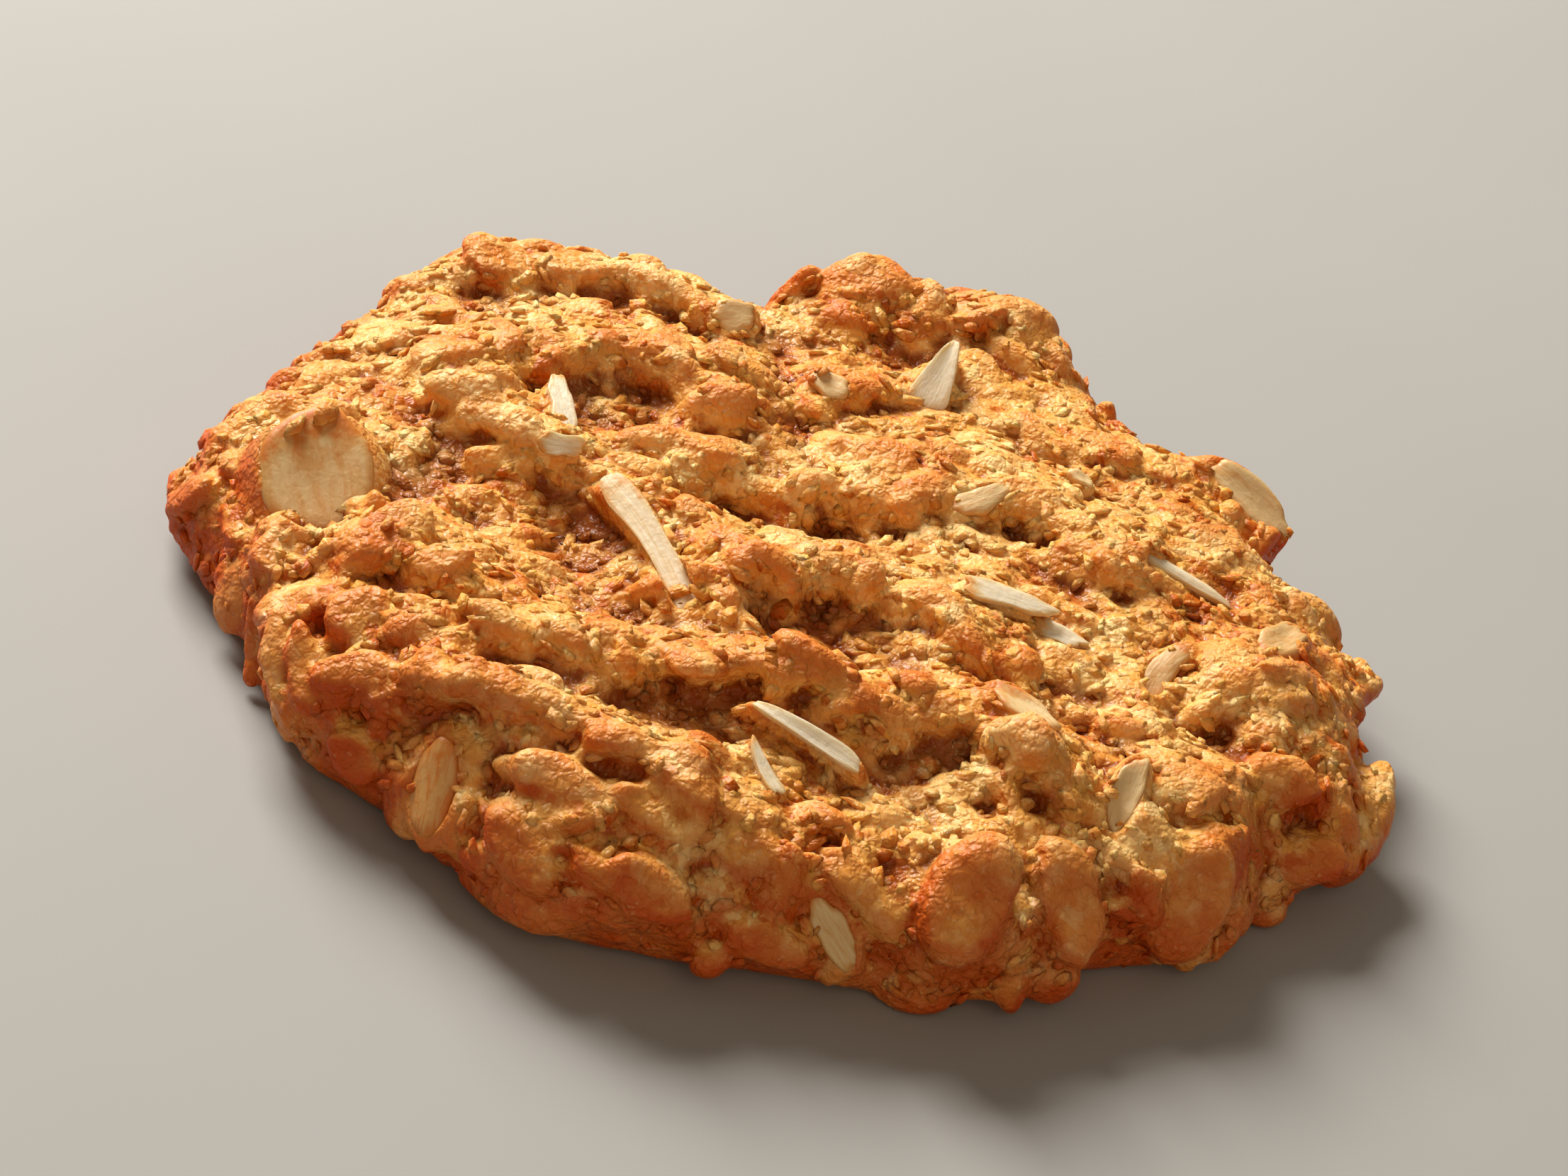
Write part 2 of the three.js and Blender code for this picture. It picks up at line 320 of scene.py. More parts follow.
SHOWN = {
    Kind.OAT: (
        # painted shade: this flake's tint darkens it as if in half shade
        Shown((200, 266), (214, 354), 0.65, Lie(8.0, proud=0.8, cup=-0.3, tint=0.6, smear=0.6)),
        Shown((494, 208), (464, 207), 0.5, Lie(2.8, proud=0.3, ragged=0.12, tint=0.3)),
        Shown((528, 246), (555, 258), 0.3, Lie(2.4, proud=0.1, ragged=0.1, tint=0.6, cover=0.2)),
        Shown((622, 334), (657, 321), 0.1, Lie(2.4, 0.6, ragged=0.12, tint=0.4)),
        Shown((773, 420), (745, 458), 0.5, Lie(2.4, 0.6, bend=0.5, ragged=0.08, tint=1.2)),
        Shown((650, 446), (688, 480), 0.4,
              Lie(2.6, 0.6, proud=0.1, ragged=0.12, tint=0.3, smear=0.6, cover=0.3)),
        Shown((821, 426), (852, 412), 0.3, Lie(2.8, 0.6, proud=0.1, ragged=0.12, tint=1.2)),
        Shown((745, 495), (725, 545), 0.65, Lie(2.2, 0.6, proud=0.3, cup=0.5, ragged=0.08, tint=-0.2)),
        Shown((789, 303), (841, 353), 0.6, Lie(3.2, proud=0.6, cup=0.3, tint=0.1)),
        Shown((697, 310), (712, 320), 0.3, Lie(1.6, 0.9, ragged=0.1)),
        # painted shade: the high tint darkens this flake for the shade on the front rim
        Shown((289, 482), (277, 546), 0.2, Lie(3.7, 0.6, proud=0.1, cup=-0.4, ragged=0.04, tint=3.0)),
        Shown((530, 586), (558, 632), 0.25, Lie(2.4, 0.6, proud=0.0, ragged=0.1, tint=0.6)),
    ),
    Kind.COCONUT: (
        Shown((404, 316), (456, 402), 0.45,
              Lie(3.0, 0.6, proud=0.9, waist=0.36, taper=-0.1, bend=-0.5, tint=1.0)),
        Shown((362, 252), (368, 286), 0.4, Lie(2.0, 0.5, proud=0.6, ragged=0.14, tint=-0.2)),
        Shown((352, 289), (377, 294), 0.4, Lie(1.8, 0.5, proud=0.5, ragged=0.14, tint=0.4)),
        Shown((602, 268), (624, 224), 0.55, Lie(2.4, 0.5, proud=0.5, taper=-0.62, ragged=0.03, tint=-0.3)),
        Shown((630, 384), (684, 403), 0.3, Lie(1.8, 0.5, proud=0.5, taper=-0.2, ragged=0.1)),
        Shown((672, 406), (706, 424), 0.3, Lie(1.5, 0.5, proud=0.3, ragged=0.15, smear=0.6)),
        Shown((745, 363), (800, 396), 0.2, Lie(1.2, 0.5, proud=0.3, taper=-0.2, ragged=0.08, tint=0.5)),
        Shown((491, 463), (560, 505), 0.05,
              Lie(1.2, 0.6, proud=1.3, bend=-0.2, taper=0.25, ragged=0.03, tint=-0.8)),
        Shown((487, 484), (506, 522), 0.3, Lie(0.9, 0.5, proud=0.4, bend=0.3, taper=0.4, tint=0.5)),
    ),
    Kind.COATED: (
        Shown((280, 248), (355, 288), 0.2, Lie(4.2, 1.6, proud=0.5, ragged=0.04, tint=-0.4)),
        Shown((434, 288), (478, 268), 0.3, Lie(4.4, 1.5, proud=0.5, ragged=0.05, tint=-0.8)),
        Shown((556, 298), (598, 306), 0.3, Lie(4.0, 1.3, proud=0.5, ragged=0.03, tint=-0.9)),
        Shown((650, 546), (610, 630), 0.4,
              Lie(6.6, 3.0, proud=1.2, cup=-0.7, droop=0.5, ragged=0.02, tint=0.1)),
        Shown((402, 514), (462, 544), 0.4, Lie(3.4, 1.4, proud=0.4, ragged=0.03, tint=-0.7)),
        Shown((790, 545), (760, 630), 0.4,
              Lie(6.4, 2.0, proud=0.7, cup=-0.5, droop=0.4, ragged=0.05, tint=-0.4)),
        Shown((688, 545), (704, 630), 0.4,
              Lie(5.0, 2.2, proud=0.6, cup=-0.5, droop=0.4, ragged=0.05, tint=-0.1)),
        Shown((212, 412), (258, 396), 0.4, Lie(4.4, 2.2, proud=0.6, cup=-0.5)),
        Shown((205, 442), (264, 440), 0.4, Lie(3.4, 2.0, proud=0.5, cup=-0.5, tint=0.3)),
        Shown((216, 478), (252, 508), 0.4, Lie(3.8, 2.0, proud=0.5, cup=-0.5, tint=0.1)),
        Shown((332, 498), (396, 522), 0.4, Lie(4.0, 2.2, proud=0.4, cup=-0.4, ragged=0.05, tint=0.3)),
        Shown((322, 528), (362, 584), 0.4, Lie(4.2, 2.0, proud=0.5, cup=-0.4, ragged=0.05, tint=0.2)),
        Shown((395, 560), (452, 600), 0.4, Lie(4.0, 1.8, proud=0.4, cup=-0.4)),
        Shown((470, 600), (528, 628), 0.4, Lie(3.4, 1.8, proud=0.4, cup=-0.4, tint=-0.2)),
        Shown((458, 548), (512, 562), 0.4, Lie(3.2, 1.6, proud=0.4, cup=-0.4, tint=-0.3)),
        Shown((815, 500), (862, 520), 0.4, Lie(3.8, 1.8, proud=0.4, cup=-0.4, tint=0.2)),
        Shown((826, 560), (880, 560), 0.4, Lie(4.2, 2.0, proud=0.5, cup=-0.4, tint=0.1)),
        Shown((634, 228), (646, 280), 0.3, Lie(4.4, 1.4, proud=0.4, ragged=0.04)),
        Shown((290, 272), (318, 290), 0.4, Lie(1.9, 1.0, proud=0.6, ragged=0.03, tint=-1.0)),
        Shown((302, 296), (352, 304), 0.4, Lie(1.9, 1.0, proud=0.5, ragged=0.05, tint=-1.0)),
        Shown((394, 300), (437, 312), 0.4, Lie(2.4, 1.1, proud=0.5, ragged=0.05, tint=-0.8)),
        Shown((170, 392), (166, 450), 0.5, Lie(1.8, 1.0, proud=0.5, ragged=0.05, tint=-0.4)),
        Shown((183, 396), (182, 462), 0.5, Lie(2.0, 1.0, proud=0.6, ragged=0.05, tint=-0.6)),
        Shown((196, 402), (200, 470), 0.5, Lie(2.2, 1.2, proud=0.4, ragged=0.05, tint=0.2)),
    ),
    Kind.LUMP: (
        Shown((798, 336), (834, 364), 0.4, Lie(4.4, 4.0, proud=-0.5, ragged=0.05)),
        Shown((846, 386), (876, 430), 0.4, Lie(4.4, 4.0, proud=-0.3, ragged=0.05)),
        Shown((530, 205), (615, 190), 0.3, Lie(6.0, 7.0, proud=-1.0, ragged=0.04)),
        Shown((538, 192), (604, 188), 0.5, Lie(7.6, 7.0, proud=-0.8, ragged=0.03)),
        Shown((620, 200), (700, 215), 0.3, Lie(5.0, 5.0, proud=-0.8, ragged=0.05)),
        Shown((800, 470), (865, 455), 0.3, Lie(5.0, 4.0, proud=-0.4, ragged=0.05)),
        Shown((870, 462), (902, 444), 0.3, Lie(3.0, 3.0, proud=0.0, taper=-0.5, ragged=0.03)),
        Shown((586, 466), (640, 458), 0.4, Lie(2.4, 2.0, ragged=0.03)),
        Shown((630, 456), (670, 482), 0.4, Lie(3.0, 2.6, proud=0.3, ragged=0.03)),
        Shown((656, 474), (692, 520), 0.4, Lie(3.4, 3.0, proud=0.3, ragged=0.03)),
        Shown((884, 566), (906, 492), 0.4, Lie(4.0, 4.0, proud=0.0, ragged=0.05)),
        Shown((570, 648), (626, 655), 0.5, Lie(3.0, 3.0, proud=0.0, ragged=0.05)),
        Shown((664, 640), (710, 638), 0.5, Lie(4.4, 3.6, proud=0.0, ragged=0.05)),
        Shown((768, 618), (802, 618), 0.5, Lie(3.0, 3.0, proud=0.0, ragged=0.05)),
        Shown((812, 598), (842, 594), 0.5, Lie(3.0, 3.0, proud=0.0, ragged=0.05)),
    ),
}


# The moulds that oats, shreds and crumbs are cast from

@dataclass(frozen=True)
class Mould:
    """A shape that is modelled once and cast many times: points from -1 to 1 each way, and triangles."""
    points: np.ndarray
    triangles: np.ndarray

    @classmethod
    def off(cls, model: Piece) -> "Mould":
        """Takes the shape off a model, scaled to reach -1 and 1 each way, and clears the model away.

        Args:
            model: the finished model.

        Returns:
            The mould.
        """
        apply_modifier(model, "TRIANGULATE")
        points = points_of(model)
        corners = np.empty(len(model.data.polygons) * 3, np.int32)
        model.data.polygons.foreach_get("vertices", corners)
        bpy.data.meshes.remove(model.data)
        return cls(points / np.abs(points).max(axis=0), corners.reshape(-1, 3))


@dataclass(frozen=True)
class FlakeMould:
    """A rolled oat: a thin oval cake with a rounded edge, dished in the middle."""
    sides: int = 14
    edge: float = 0.25
    crown: float = 0.3
    middle: float = 0.35
    dish: float = 0.15
    rounding: int = 1

    def model(self) -> Mould:
        """Models the flake and takes a mould off it."""
        bpy.ops.mesh.primitive_cylinder_add(vertices=self.sides, radius=1, depth=1)
        flake = bpy.context.object
        for way in (1, -1):
            select_faces(flake, lambda face: face.normal.z * way > 0.9)
            bpy.ops.mesh.inset(thickness=self.edge)
            bpy.ops.transform.translate(value=(0, 0, way * self.crown))
            bpy.ops.mesh.inset(thickness=self.middle)
            bpy.ops.transform.translate(value=(0, 0, -way * self.dish))
            bpy.ops.mesh.poke()
            bpy.ops.object.mode_set(mode="OBJECT")
        apply_modifier(flake, "SUBSURF", levels=self.rounding, render_levels=self.rounding)
        return Mould.off(flake)


@dataclass(frozen=True)
class ShredMould:
    """A shred of coconut: a flat strip that narrows at its ends, its edges broken a little."""
    cuts: int = 6
    edge: float = 0.16
    end_width: float = 0.6
    end_thickness: float = 0.7

    def model(self) -> Mould:
        """Models the shred and takes a mould off it."""
        bpy.ops.mesh.primitive_cube_add(size=2)
        shred = bpy.context.object
        select_faces(shred, lambda face: abs(face.normal.x) < 0.5)
        bpy.ops.mesh.subdivide(number_cuts=self.cuts)
        bpy.ops.object.mode_set(mode="OBJECT")
        for way in (1, -1):
            select_faces(shred, lambda face: face.normal.x * way > 0.9)
            bpy.ops.transform.resize(value=(1, self.end_width, self.end_thickness))
            bpy.ops.object.mode_set(mode="OBJECT")
        apply_modifier(shred, "BEVEL", width=self.edge, segments=2, limit_method="ANGLE")
        return Mould.off(shred)


@dataclass(frozen=True)
class CrumbMould:
    """A crumb of dough: a lumpy ball."""
    fineness: int = 2
    lumps: float = 0.9
    lumpiness: float = 0.4

    def model(self) -> Mould:
        """Models the crumb and takes a mould off it."""
        bpy.ops.mesh.primitive_ico_sphere_add(subdivisions=self.fineness, radius=1)
        crumb = bpy.context.object
        uneven = bpy.data.textures.new("crumb_lumps", "CLOUDS")
        uneven.noise_scale = self.lumps
        apply_modifier(crumb, "DISPLACE", texture=uneven, texture_coords="LOCAL", strength=self.lumpiness)
        return Mould.off(crumb)


WAVES = np.array([2, 3, 5, 8])
WAVE_DEPTHS = (0.4, 1.0)
WRINKLE_SPEED = 3.5
NARROWEST = 0.3


@dataclass(frozen=True)
class Copy:
    """A copy of a mould, laid at its site."""
    site: Site
    lie: Lie

    def frame(self) -> np.ndarray:
        """The copy's own length, width and thickness directions, as rows."""
        site, lie = self.site, self.lie
        axes = Matrix((site.along, np.cross(site.facing, site.along), site.facing)).transposed()
        spin = Matrix.Rotation(math.radians(lie.turn), 3, "Z")
        roll = Matrix.Rotation(math.radians(lie.lean), 3, "X")
        pitch = Matrix.Rotation(math.radians(lie.tip), 3, "Y")
        return np.array((axes @ spin @ roll @ pitch).transposed())

    def middle(self) -> np.ndarray:
        """Where the copy's middle lies."""
        return self.site.place + self.site.facing * self.lie.proud

    def breadth(self, along: np.ndarray) -> np.ndarray:
        """Half the copy's width at places along it, from -1 at its start to 1 at its end."""
        lie = self.lie
        return np.maximum(NARROWEST, 1 + lie.taper * along - lie.waist * (1 - along ** 2)) * lie.width / 2

    def sag(self, along: np.ndarray, across: np.ndarray) -> np.ndarray:
        """How far the copy's face stands above its middle, at places along and across it."""
        return self.lie.cup * across ** 2 - self.lie.droop * along ** 2

    def spread(self, points: np.ndarray, squareness: float = 2.0) -> Rows:
        """Finds where points lie over or under the copy.

        Args:
            points: places in the biscuit's frame.
            squareness: 2 for an oval copy, more for one with corners.

        Returns:
            How far out from the copy's middle each point lies, 1 at the copy's edge, its place along the
            copy, from -1 to 1, and its height over the copy.
        """
        length, width, height = ((points - self.middle()) @ self.frame().T).T
        along = length / self.lie.length * 2
        across = (width - self.lie.bend * along ** 2) / self.breadth(along)
        out = (np.abs(along) ** squareness + np.abs(across) ** squareness) ** (1 / squareness)
        return out, along, height - self.sag(along, across)

    def spots(self, along: np.ndarray, across: np.ndarray, height: np.ndarray) -> np.ndarray:
        """Where places along and across the copy lie, at a height over its face."""
        length = along * self.lie.length / 2
        width = across * self.breadth(along) + self.lie.bend * along ** 2
        over = height + self.sag(along, across)
        return self.middle() + np.stack([length, width, over], axis=1) @ self.frame()

    def shaped(self, points: np.ndarray, draws: np.random.Generator) -> np.ndarray:
        """Shapes a mould's points for this copy and lays them at its site.

        Args:
            points: the mould's points.
            draws: where the outline's unevenness comes from.

        Returns:
            The points, in millimetres in the biscuit's frame.
        """
        lie = self.lie
        along, across, over = points.T
        round_about = np.arctan2(across, along)
        phases = draws.uniform(0, math.tau, len(WAVES))
        depths = draws.uniform(*WAVE_DEPTHS, len(WAVES)) * lie.ragged * np.sqrt(WAVES[0] / WAVES)
        swell = 1 + (np.cos(np.outer(round_about, WAVES) + phases) * depths).sum(axis=1)
        ways = draws.uniform(-WRINKLE_SPEED, WRINKLE_SPEED, (len(WAVES), 2))
        ripples = np.cos(np.outer(along, ways[:, 0]) + np.outer(across, ways[:, 1]) + phases)
        wrinkles = ripples.sum(axis=1) * lie.wrinkle
        return self.spots(along * swell, across * swell, over * lie.thickness / 2 + wrinkles)


def cast(name: str, mould: Mould, copies: list[Copy], seed: int) -> Piece:
    """Casts a mould once for each copy and joins the casts in one piece.

    Args:
        name: the piece's name.
        mould: the mould.
        copies: how each cast is shaped and lies.
        seed: where the casts' unevenness starts.

    Returns:
        The piece, which keeps for each point its place along and across its own cast, and the cast's tint.
    """
    draws = np.random.default_rng(seed)
    count = len(mould.points)
    points = np.concatenate([copy.shaped(mould.points, draws) for copy in copies])
    triangles = np.concatenate([mould.triangles + count * index for index in range(len(copies))])
    mesh = bpy.data.meshes.new(name)
    mesh.from_pydata(points * MM, [], triangles)
    mesh.update()
    piece = bpy.data.objects.new(name, mesh)
    bpy.context.collection.objects.link(piece)
    set_attribute(piece, "along", np.tile(mould.points[:, 0], len(copies)))
    set_attribute(piece, "across", np.tile(mould.points[:, 1], len(copies)))
    set_attribute(piece, "tint", np.repeat([copy.lie.tint for copy in copies], count))
    set_attribute(piece, "smear", np.repeat([copy.lie.smear for copy in copies], count))
    return piece


# The surface that things lie on

@dataclass(frozen=True)
class Scatter:
    """How sites are scattered: how many at most, how high, how far below what is near, and how far apart."""
    count: int
    lowest: float
    depth: Pair
    apart: float


class Surface:
    """The dough's surface, and the sites on it."""
    REACH = 2.4
    WIDE = 60
    STEEPEST = -0.4
    NEAR_AND_FAR = (0.8, 1.2)
    LOOKS = 80

    def __init__(self, piece: Piece) -> None:
        """Measures a piece of dough.

        Args:
            piece: the dough, evenly meshed.
        """
        self.tree = BVHTree.FromObject(piece, bpy.context.evaluated_depsgraph_get())
        self.points = points_of(piece)
        self.normals = normals_of(piece)
        self.depths = hollows(piece, self.WIDE)

    def around(self, place: Vector) -> Site:
        """Makes a site of a place on the surface, in metres, facing as the surface does around it."""
        near = self.tree.find_nearest_range(place, self.REACH * MM)
        facing = np.array(sum((normal for _, normal, _, _ in near), Vector()).normalized())
        along = np.cross([0.0, 1.0, 0.0], facing)
        return Site(np.array(place) / MM, facing, along / np.linalg.norm(along))

    def seen(self, square: Pair) -> Site:
        """The site that the camera sees at a place in its frame, or the nearest one if it sees none."""
        eye, way = CAMERA.eye() * MM, CAMERA.line(square)
        place, _, _, _ = self.tree.ray_cast(eye, way)
        if place is None:
            shares = np.linspace(*self.NEAR_AND_FAR, self.LOOKS)
            steps = (eye + way * CAMERA.distance * MM * share for share in shares)
            place, _, _, _ = min((self.tree.find_nearest(step) for step in steps), key=lambda hit: hit[3])
        return self.around(place)

    def hides(self, place: np.ndarray) -> bool:
        """Whether the dough hides a place, in millimetres, from the camera."""
        start = Vector(place * MM)
        way = (CAMERA.eye() * MM - start).normalized()
        return self.tree.ray_cast(start, way)[0] is not None

    def laid(self, shown: Shown) -> Copy:
        """Lays one of the things that show on the dough, its ends where the camera sees them.

        Args:
            shown: the thing.

        Returns:
            The copy, turned to the camera as far as the thing is.
        """
        eye = np.array(CAMERA.eye())
        site = self.seen(((shown.start[0] + shown.end[0]) / 2, (shown.start[1] + shown.end[1]) / 2))
        to_eye = eye - site.place
        facing = site.facing * (1 - shown.toward) + to_eye / np.linalg.norm(to_eye) * shown.toward
        facing /= np.linalg.norm(facing)
        ends = []
        for square in (shown.start, shown.end):
            way = np.array(CAMERA.line(square))
            ends.append(eye + way * ((site.place - eye) @ facing / (way @ facing)))
        run = ends[1] - ends[0]
        length = float(np.linalg.norm(run))
        return Copy(Site((ends[0] + ends[1]) / 2, facing, run / length), replace(shown.lie, length=length))

    def scattered(self, scatter: Scatter, seed: int) -> list[Site]:
        """Scatters sites over the surface.

        Args:
            scatter: how they are scattered.
            seed: where the scatter starts.

        Returns:
            The sites.
        """
        draws = random.Random(seed)
        fit = (self.points[:, 2] > scatter.lowest) & (self.normals[:, 2] > self.STEEPEST)
        fit &= (self.depths > scatter.depth[0]) & (self.depths < scatter.depth[1])
        order = np.flatnonzero(fit).tolist()
        draws.shuffle(order)
        kept: list[int] = []
        for index in order:
            gaps = np.linalg.norm(self.points[kept] - self.points[index], axis=1)
            if gaps.min(initial=scatter.apart) >= scatter.apart:
                kept.append(index)
            if len(kept) == scatter.count:
                break
        return [self.around(Vector(self.points[index] * MM)) for index in kept]


# Finishes

class Wiring:
    """A node tree that is being wired."""
    CLOUDINESS = 0.55

    def __init__(self, tree: Tree) -> None:
        """Starts on a tree with no nodes left in it."""
        self.tree = tree
        tree.nodes.clear()

    def add(self, kind: str, sockets: Sockets | None = None, **settings: object) -> bpy.types.Node:
        """Adds a node.

        Args:
            kind: the node's type.
            sockets: values for its inputs, or outputs of other nodes that are linked to them.
            settings: the node's own values by name.

        Returns:
            The node.
        """
        node = self.tree.nodes.new(kind)
        for name, value in settings.items():
            setattr(node, name, value)
        for name, value in (sockets or {}).items():
            if isinstance(value, Socket):
                self.tree.links.new(value, node.inputs[name])
            elif isinstance(value, tuple) and len(value) == 3 and node.inputs[name].type == "RGBA":
                node.inputs[name].default_value = (*value, 1)
            else:
                node.inputs[name].default_value = value
        return node

    def noise(self, size: float, detail: float, where: Socket) -> Socket:
        """A cloudy pattern from 0 to 1 with patches of a size in millimetres."""
        sockets = {"Vector": where, "Scale": 1 / (size * MM), "Detail": detail, "Roughness": self.CLOUDINESS}
        return self.add("ShaderNodeTexNoise", sockets).outputs["Fac"]

    def kept(self, name: str) -> Socket:
        """A number that the piece keeps for each of its points."""
        return self.add("ShaderNodeAttribute", attribute_name=name).outputs["Fac"]

    def ranged(self, value: Socket, start: float, end: float, low: float = 0.0, high: float = 1.0
               ) -> Socket:
        """Turns a value between start and end into one between low and high, smoothly."""
        sockets = {"Value": value, 1: start, 2: end, 3: low, 4: high}
        return self.add("ShaderNodeMapRange", sockets, interpolation_type="SMOOTHSTEP").outputs["Result"]

    def sum(self, first: object, second: object, way: str = "ADD") -> Socket:
        """Adds two values, or joins them in another way of reckoning."""
        return self.add("ShaderNodeMath", {0: first, 1: second}, operation=way).outputs[0]

    def times(self, first: object, second: object) -> Socket:
        """Multiplies two values."""
        return self.sum(first, second, "MULTIPLY")

    def stirred(self, where: Socket, scale: object, detail: float, reach: object) -> Socket:
        """Pushes coordinates about, so that a pattern on them isn't regular.

        Args:
            where: the coordinates.
            scale: how many swirls there are to a metre.
            detail: how finely the swirls are broken up.
            reach: how far they push.

        Returns:
            The pushed coordinates.
        """
        swirls = self.add("ShaderNodeTexNoise", {"Vector": where, "Scale": scale, "Detail": detail})
        sockets = {0: swirls.outputs["Color"], 1: reach, 2: where}
        return self.add("ShaderNodeVectorMath", sockets, operation="MULTIPLY_ADD").outputs[0]

    def bumped(self, height: Socket, relief: float, strength: float) -> Socket:
        """The way the surface faces with a pattern's height on it, the relief in millimetres."""
        sockets = {"Height": height, "Distance": relief * MM, "Strength": strength}
        return self.add("ShaderNodeBump", sockets).outputs["Normal"]

    def shade(self, sockets: Sockets) -> None:
        """Adds the shader with its values, and shows it."""
        shader = self.add("ShaderNodeBsdfPrincipled", sockets)
        self.add("ShaderNodeOutputMaterial", {"Surface": shader.outputs["BSDF"]})

    def mixed(self, share: object, first: object, second: object) -> Socket:
        """A mix of two colours, all of the second where the share is 1."""
        sockets = {0: share, 6: first, 7: second}
        return self.add("ShaderNodeMix", sockets, data_type="RGBA").outputs[2]


def group(name: str, inputs: dict[str, str], outputs: dict[str, str]) -> tuple[Tree, Wiring]:
    """Starts a node group.

    Args:
        name: the group's name.
        inputs: its input sockets' types by name.
        outputs: its output sockets' types by name.

    Returns:
        The group and its wiring.
    """
    tree = bpy.data.node_groups.new(name, "ShaderNodeTree")
    for socket, kind in inputs.items():
        tree.interface.new_socket(socket, in_out="INPUT", socket_type=kind)
    for socket, kind in outputs.items():
        tree.interface.new_socket(socket, in_out="OUTPUT", socket_type=kind)
    return tree, Wiring(tree)


class Effects:
    """The effects that several finishes share."""

    def __init__(self) -> None:
        """Builds the effects."""
        self.browning = self._browning()
        self.grain = self._grain()

    @staticmethod
    def _browning() -> Tree:
        """Colours a surface by how far it is baked: pale at 0, then golden and brown, and deep at 1."""
        colours = ("Pale", "Golden", "Brown", "Deep")
        inputs = {"Bake": "NodeSocketFloat"} | {name: "NodeSocketColor" for name in colours}
        tree, wiring = group("browning", inputs, {"Color": "NodeSocketColor"})
        given = wiring.add("NodeGroupInput")
        tone = given.outputs["Pale"]
        for step, name in enumerate(colours[1:]):
            share = wiring.ranged(given.outputs["Bake"], step / 3, (step + 1) / 3)
            tone = wiring.mixed(share, tone, given.outputs[name])
        wiring.add("NodeGroupOutput", {"Color": tone})
        return tree

    @staticmethod
    def _grain() -> Tree:
        """A sandy grain: its height, its creases, each grain's own tone, and single pale grains."""
        outputs = {name: "NodeSocketFloat" for name in ("Height", "Creases", "Tone", "Grains")}
        tree, wiring = group("grain", {"Scale": "NodeSocketFloat"}, outputs)
        scale = wiring.add("NodeGroupInput").outputs["Scale"]
        where = wiring.add("ShaderNodeTexCoord").outputs["Object"]
        stirred = wiring.stirred(where, scale, 1.0, wiring.sum(0.9, scale, "DIVIDE"))
        large = wiring.add("ShaderNodeTexVoronoi", {"Vector": stirred, "Scale": scale}).outputs
        finer = wiring.times(scale, 2.2)
        small = wiring.add("ShaderNodeTexVoronoi", {"Vector": stirred, "Scale": finer}).outputs
        large_dome = wiring.ranged(large["Distance"], 0.0, 0.8, 1.0, 0.0)
        small_dome = wiring.ranged(small["Distance"], 0.0, 0.8, 1.0, 0.0)
        height = wiring.sum(large_dome, wiring.times(small_dome, 0.5))
        creases = wiring.ranged(height, 0.7, 0.2)
        tone = wiring.add("ShaderNodeSeparateColor", {0: large["Color"]}).outputs[1]
        picked = wiring.add("ShaderNodeSeparateColor", {0: small["Color"]}).outputs[0]
        grains = wiring.times(wiring.ranged(picked, 0.8, 0.9), small_dome)
        wiring.add("NodeGroupOutput", {"Height": height, "Creases": creases, "Tone": tone, "Grains": grains})
        return tree


def finish(name: str) -> tuple[Material, Wiring]:
    """Starts a material, with its wiring."""
    material = bpy.data.materials.new(name)
    material.use_nodes = True
    return material, Wiring(material.node_tree)


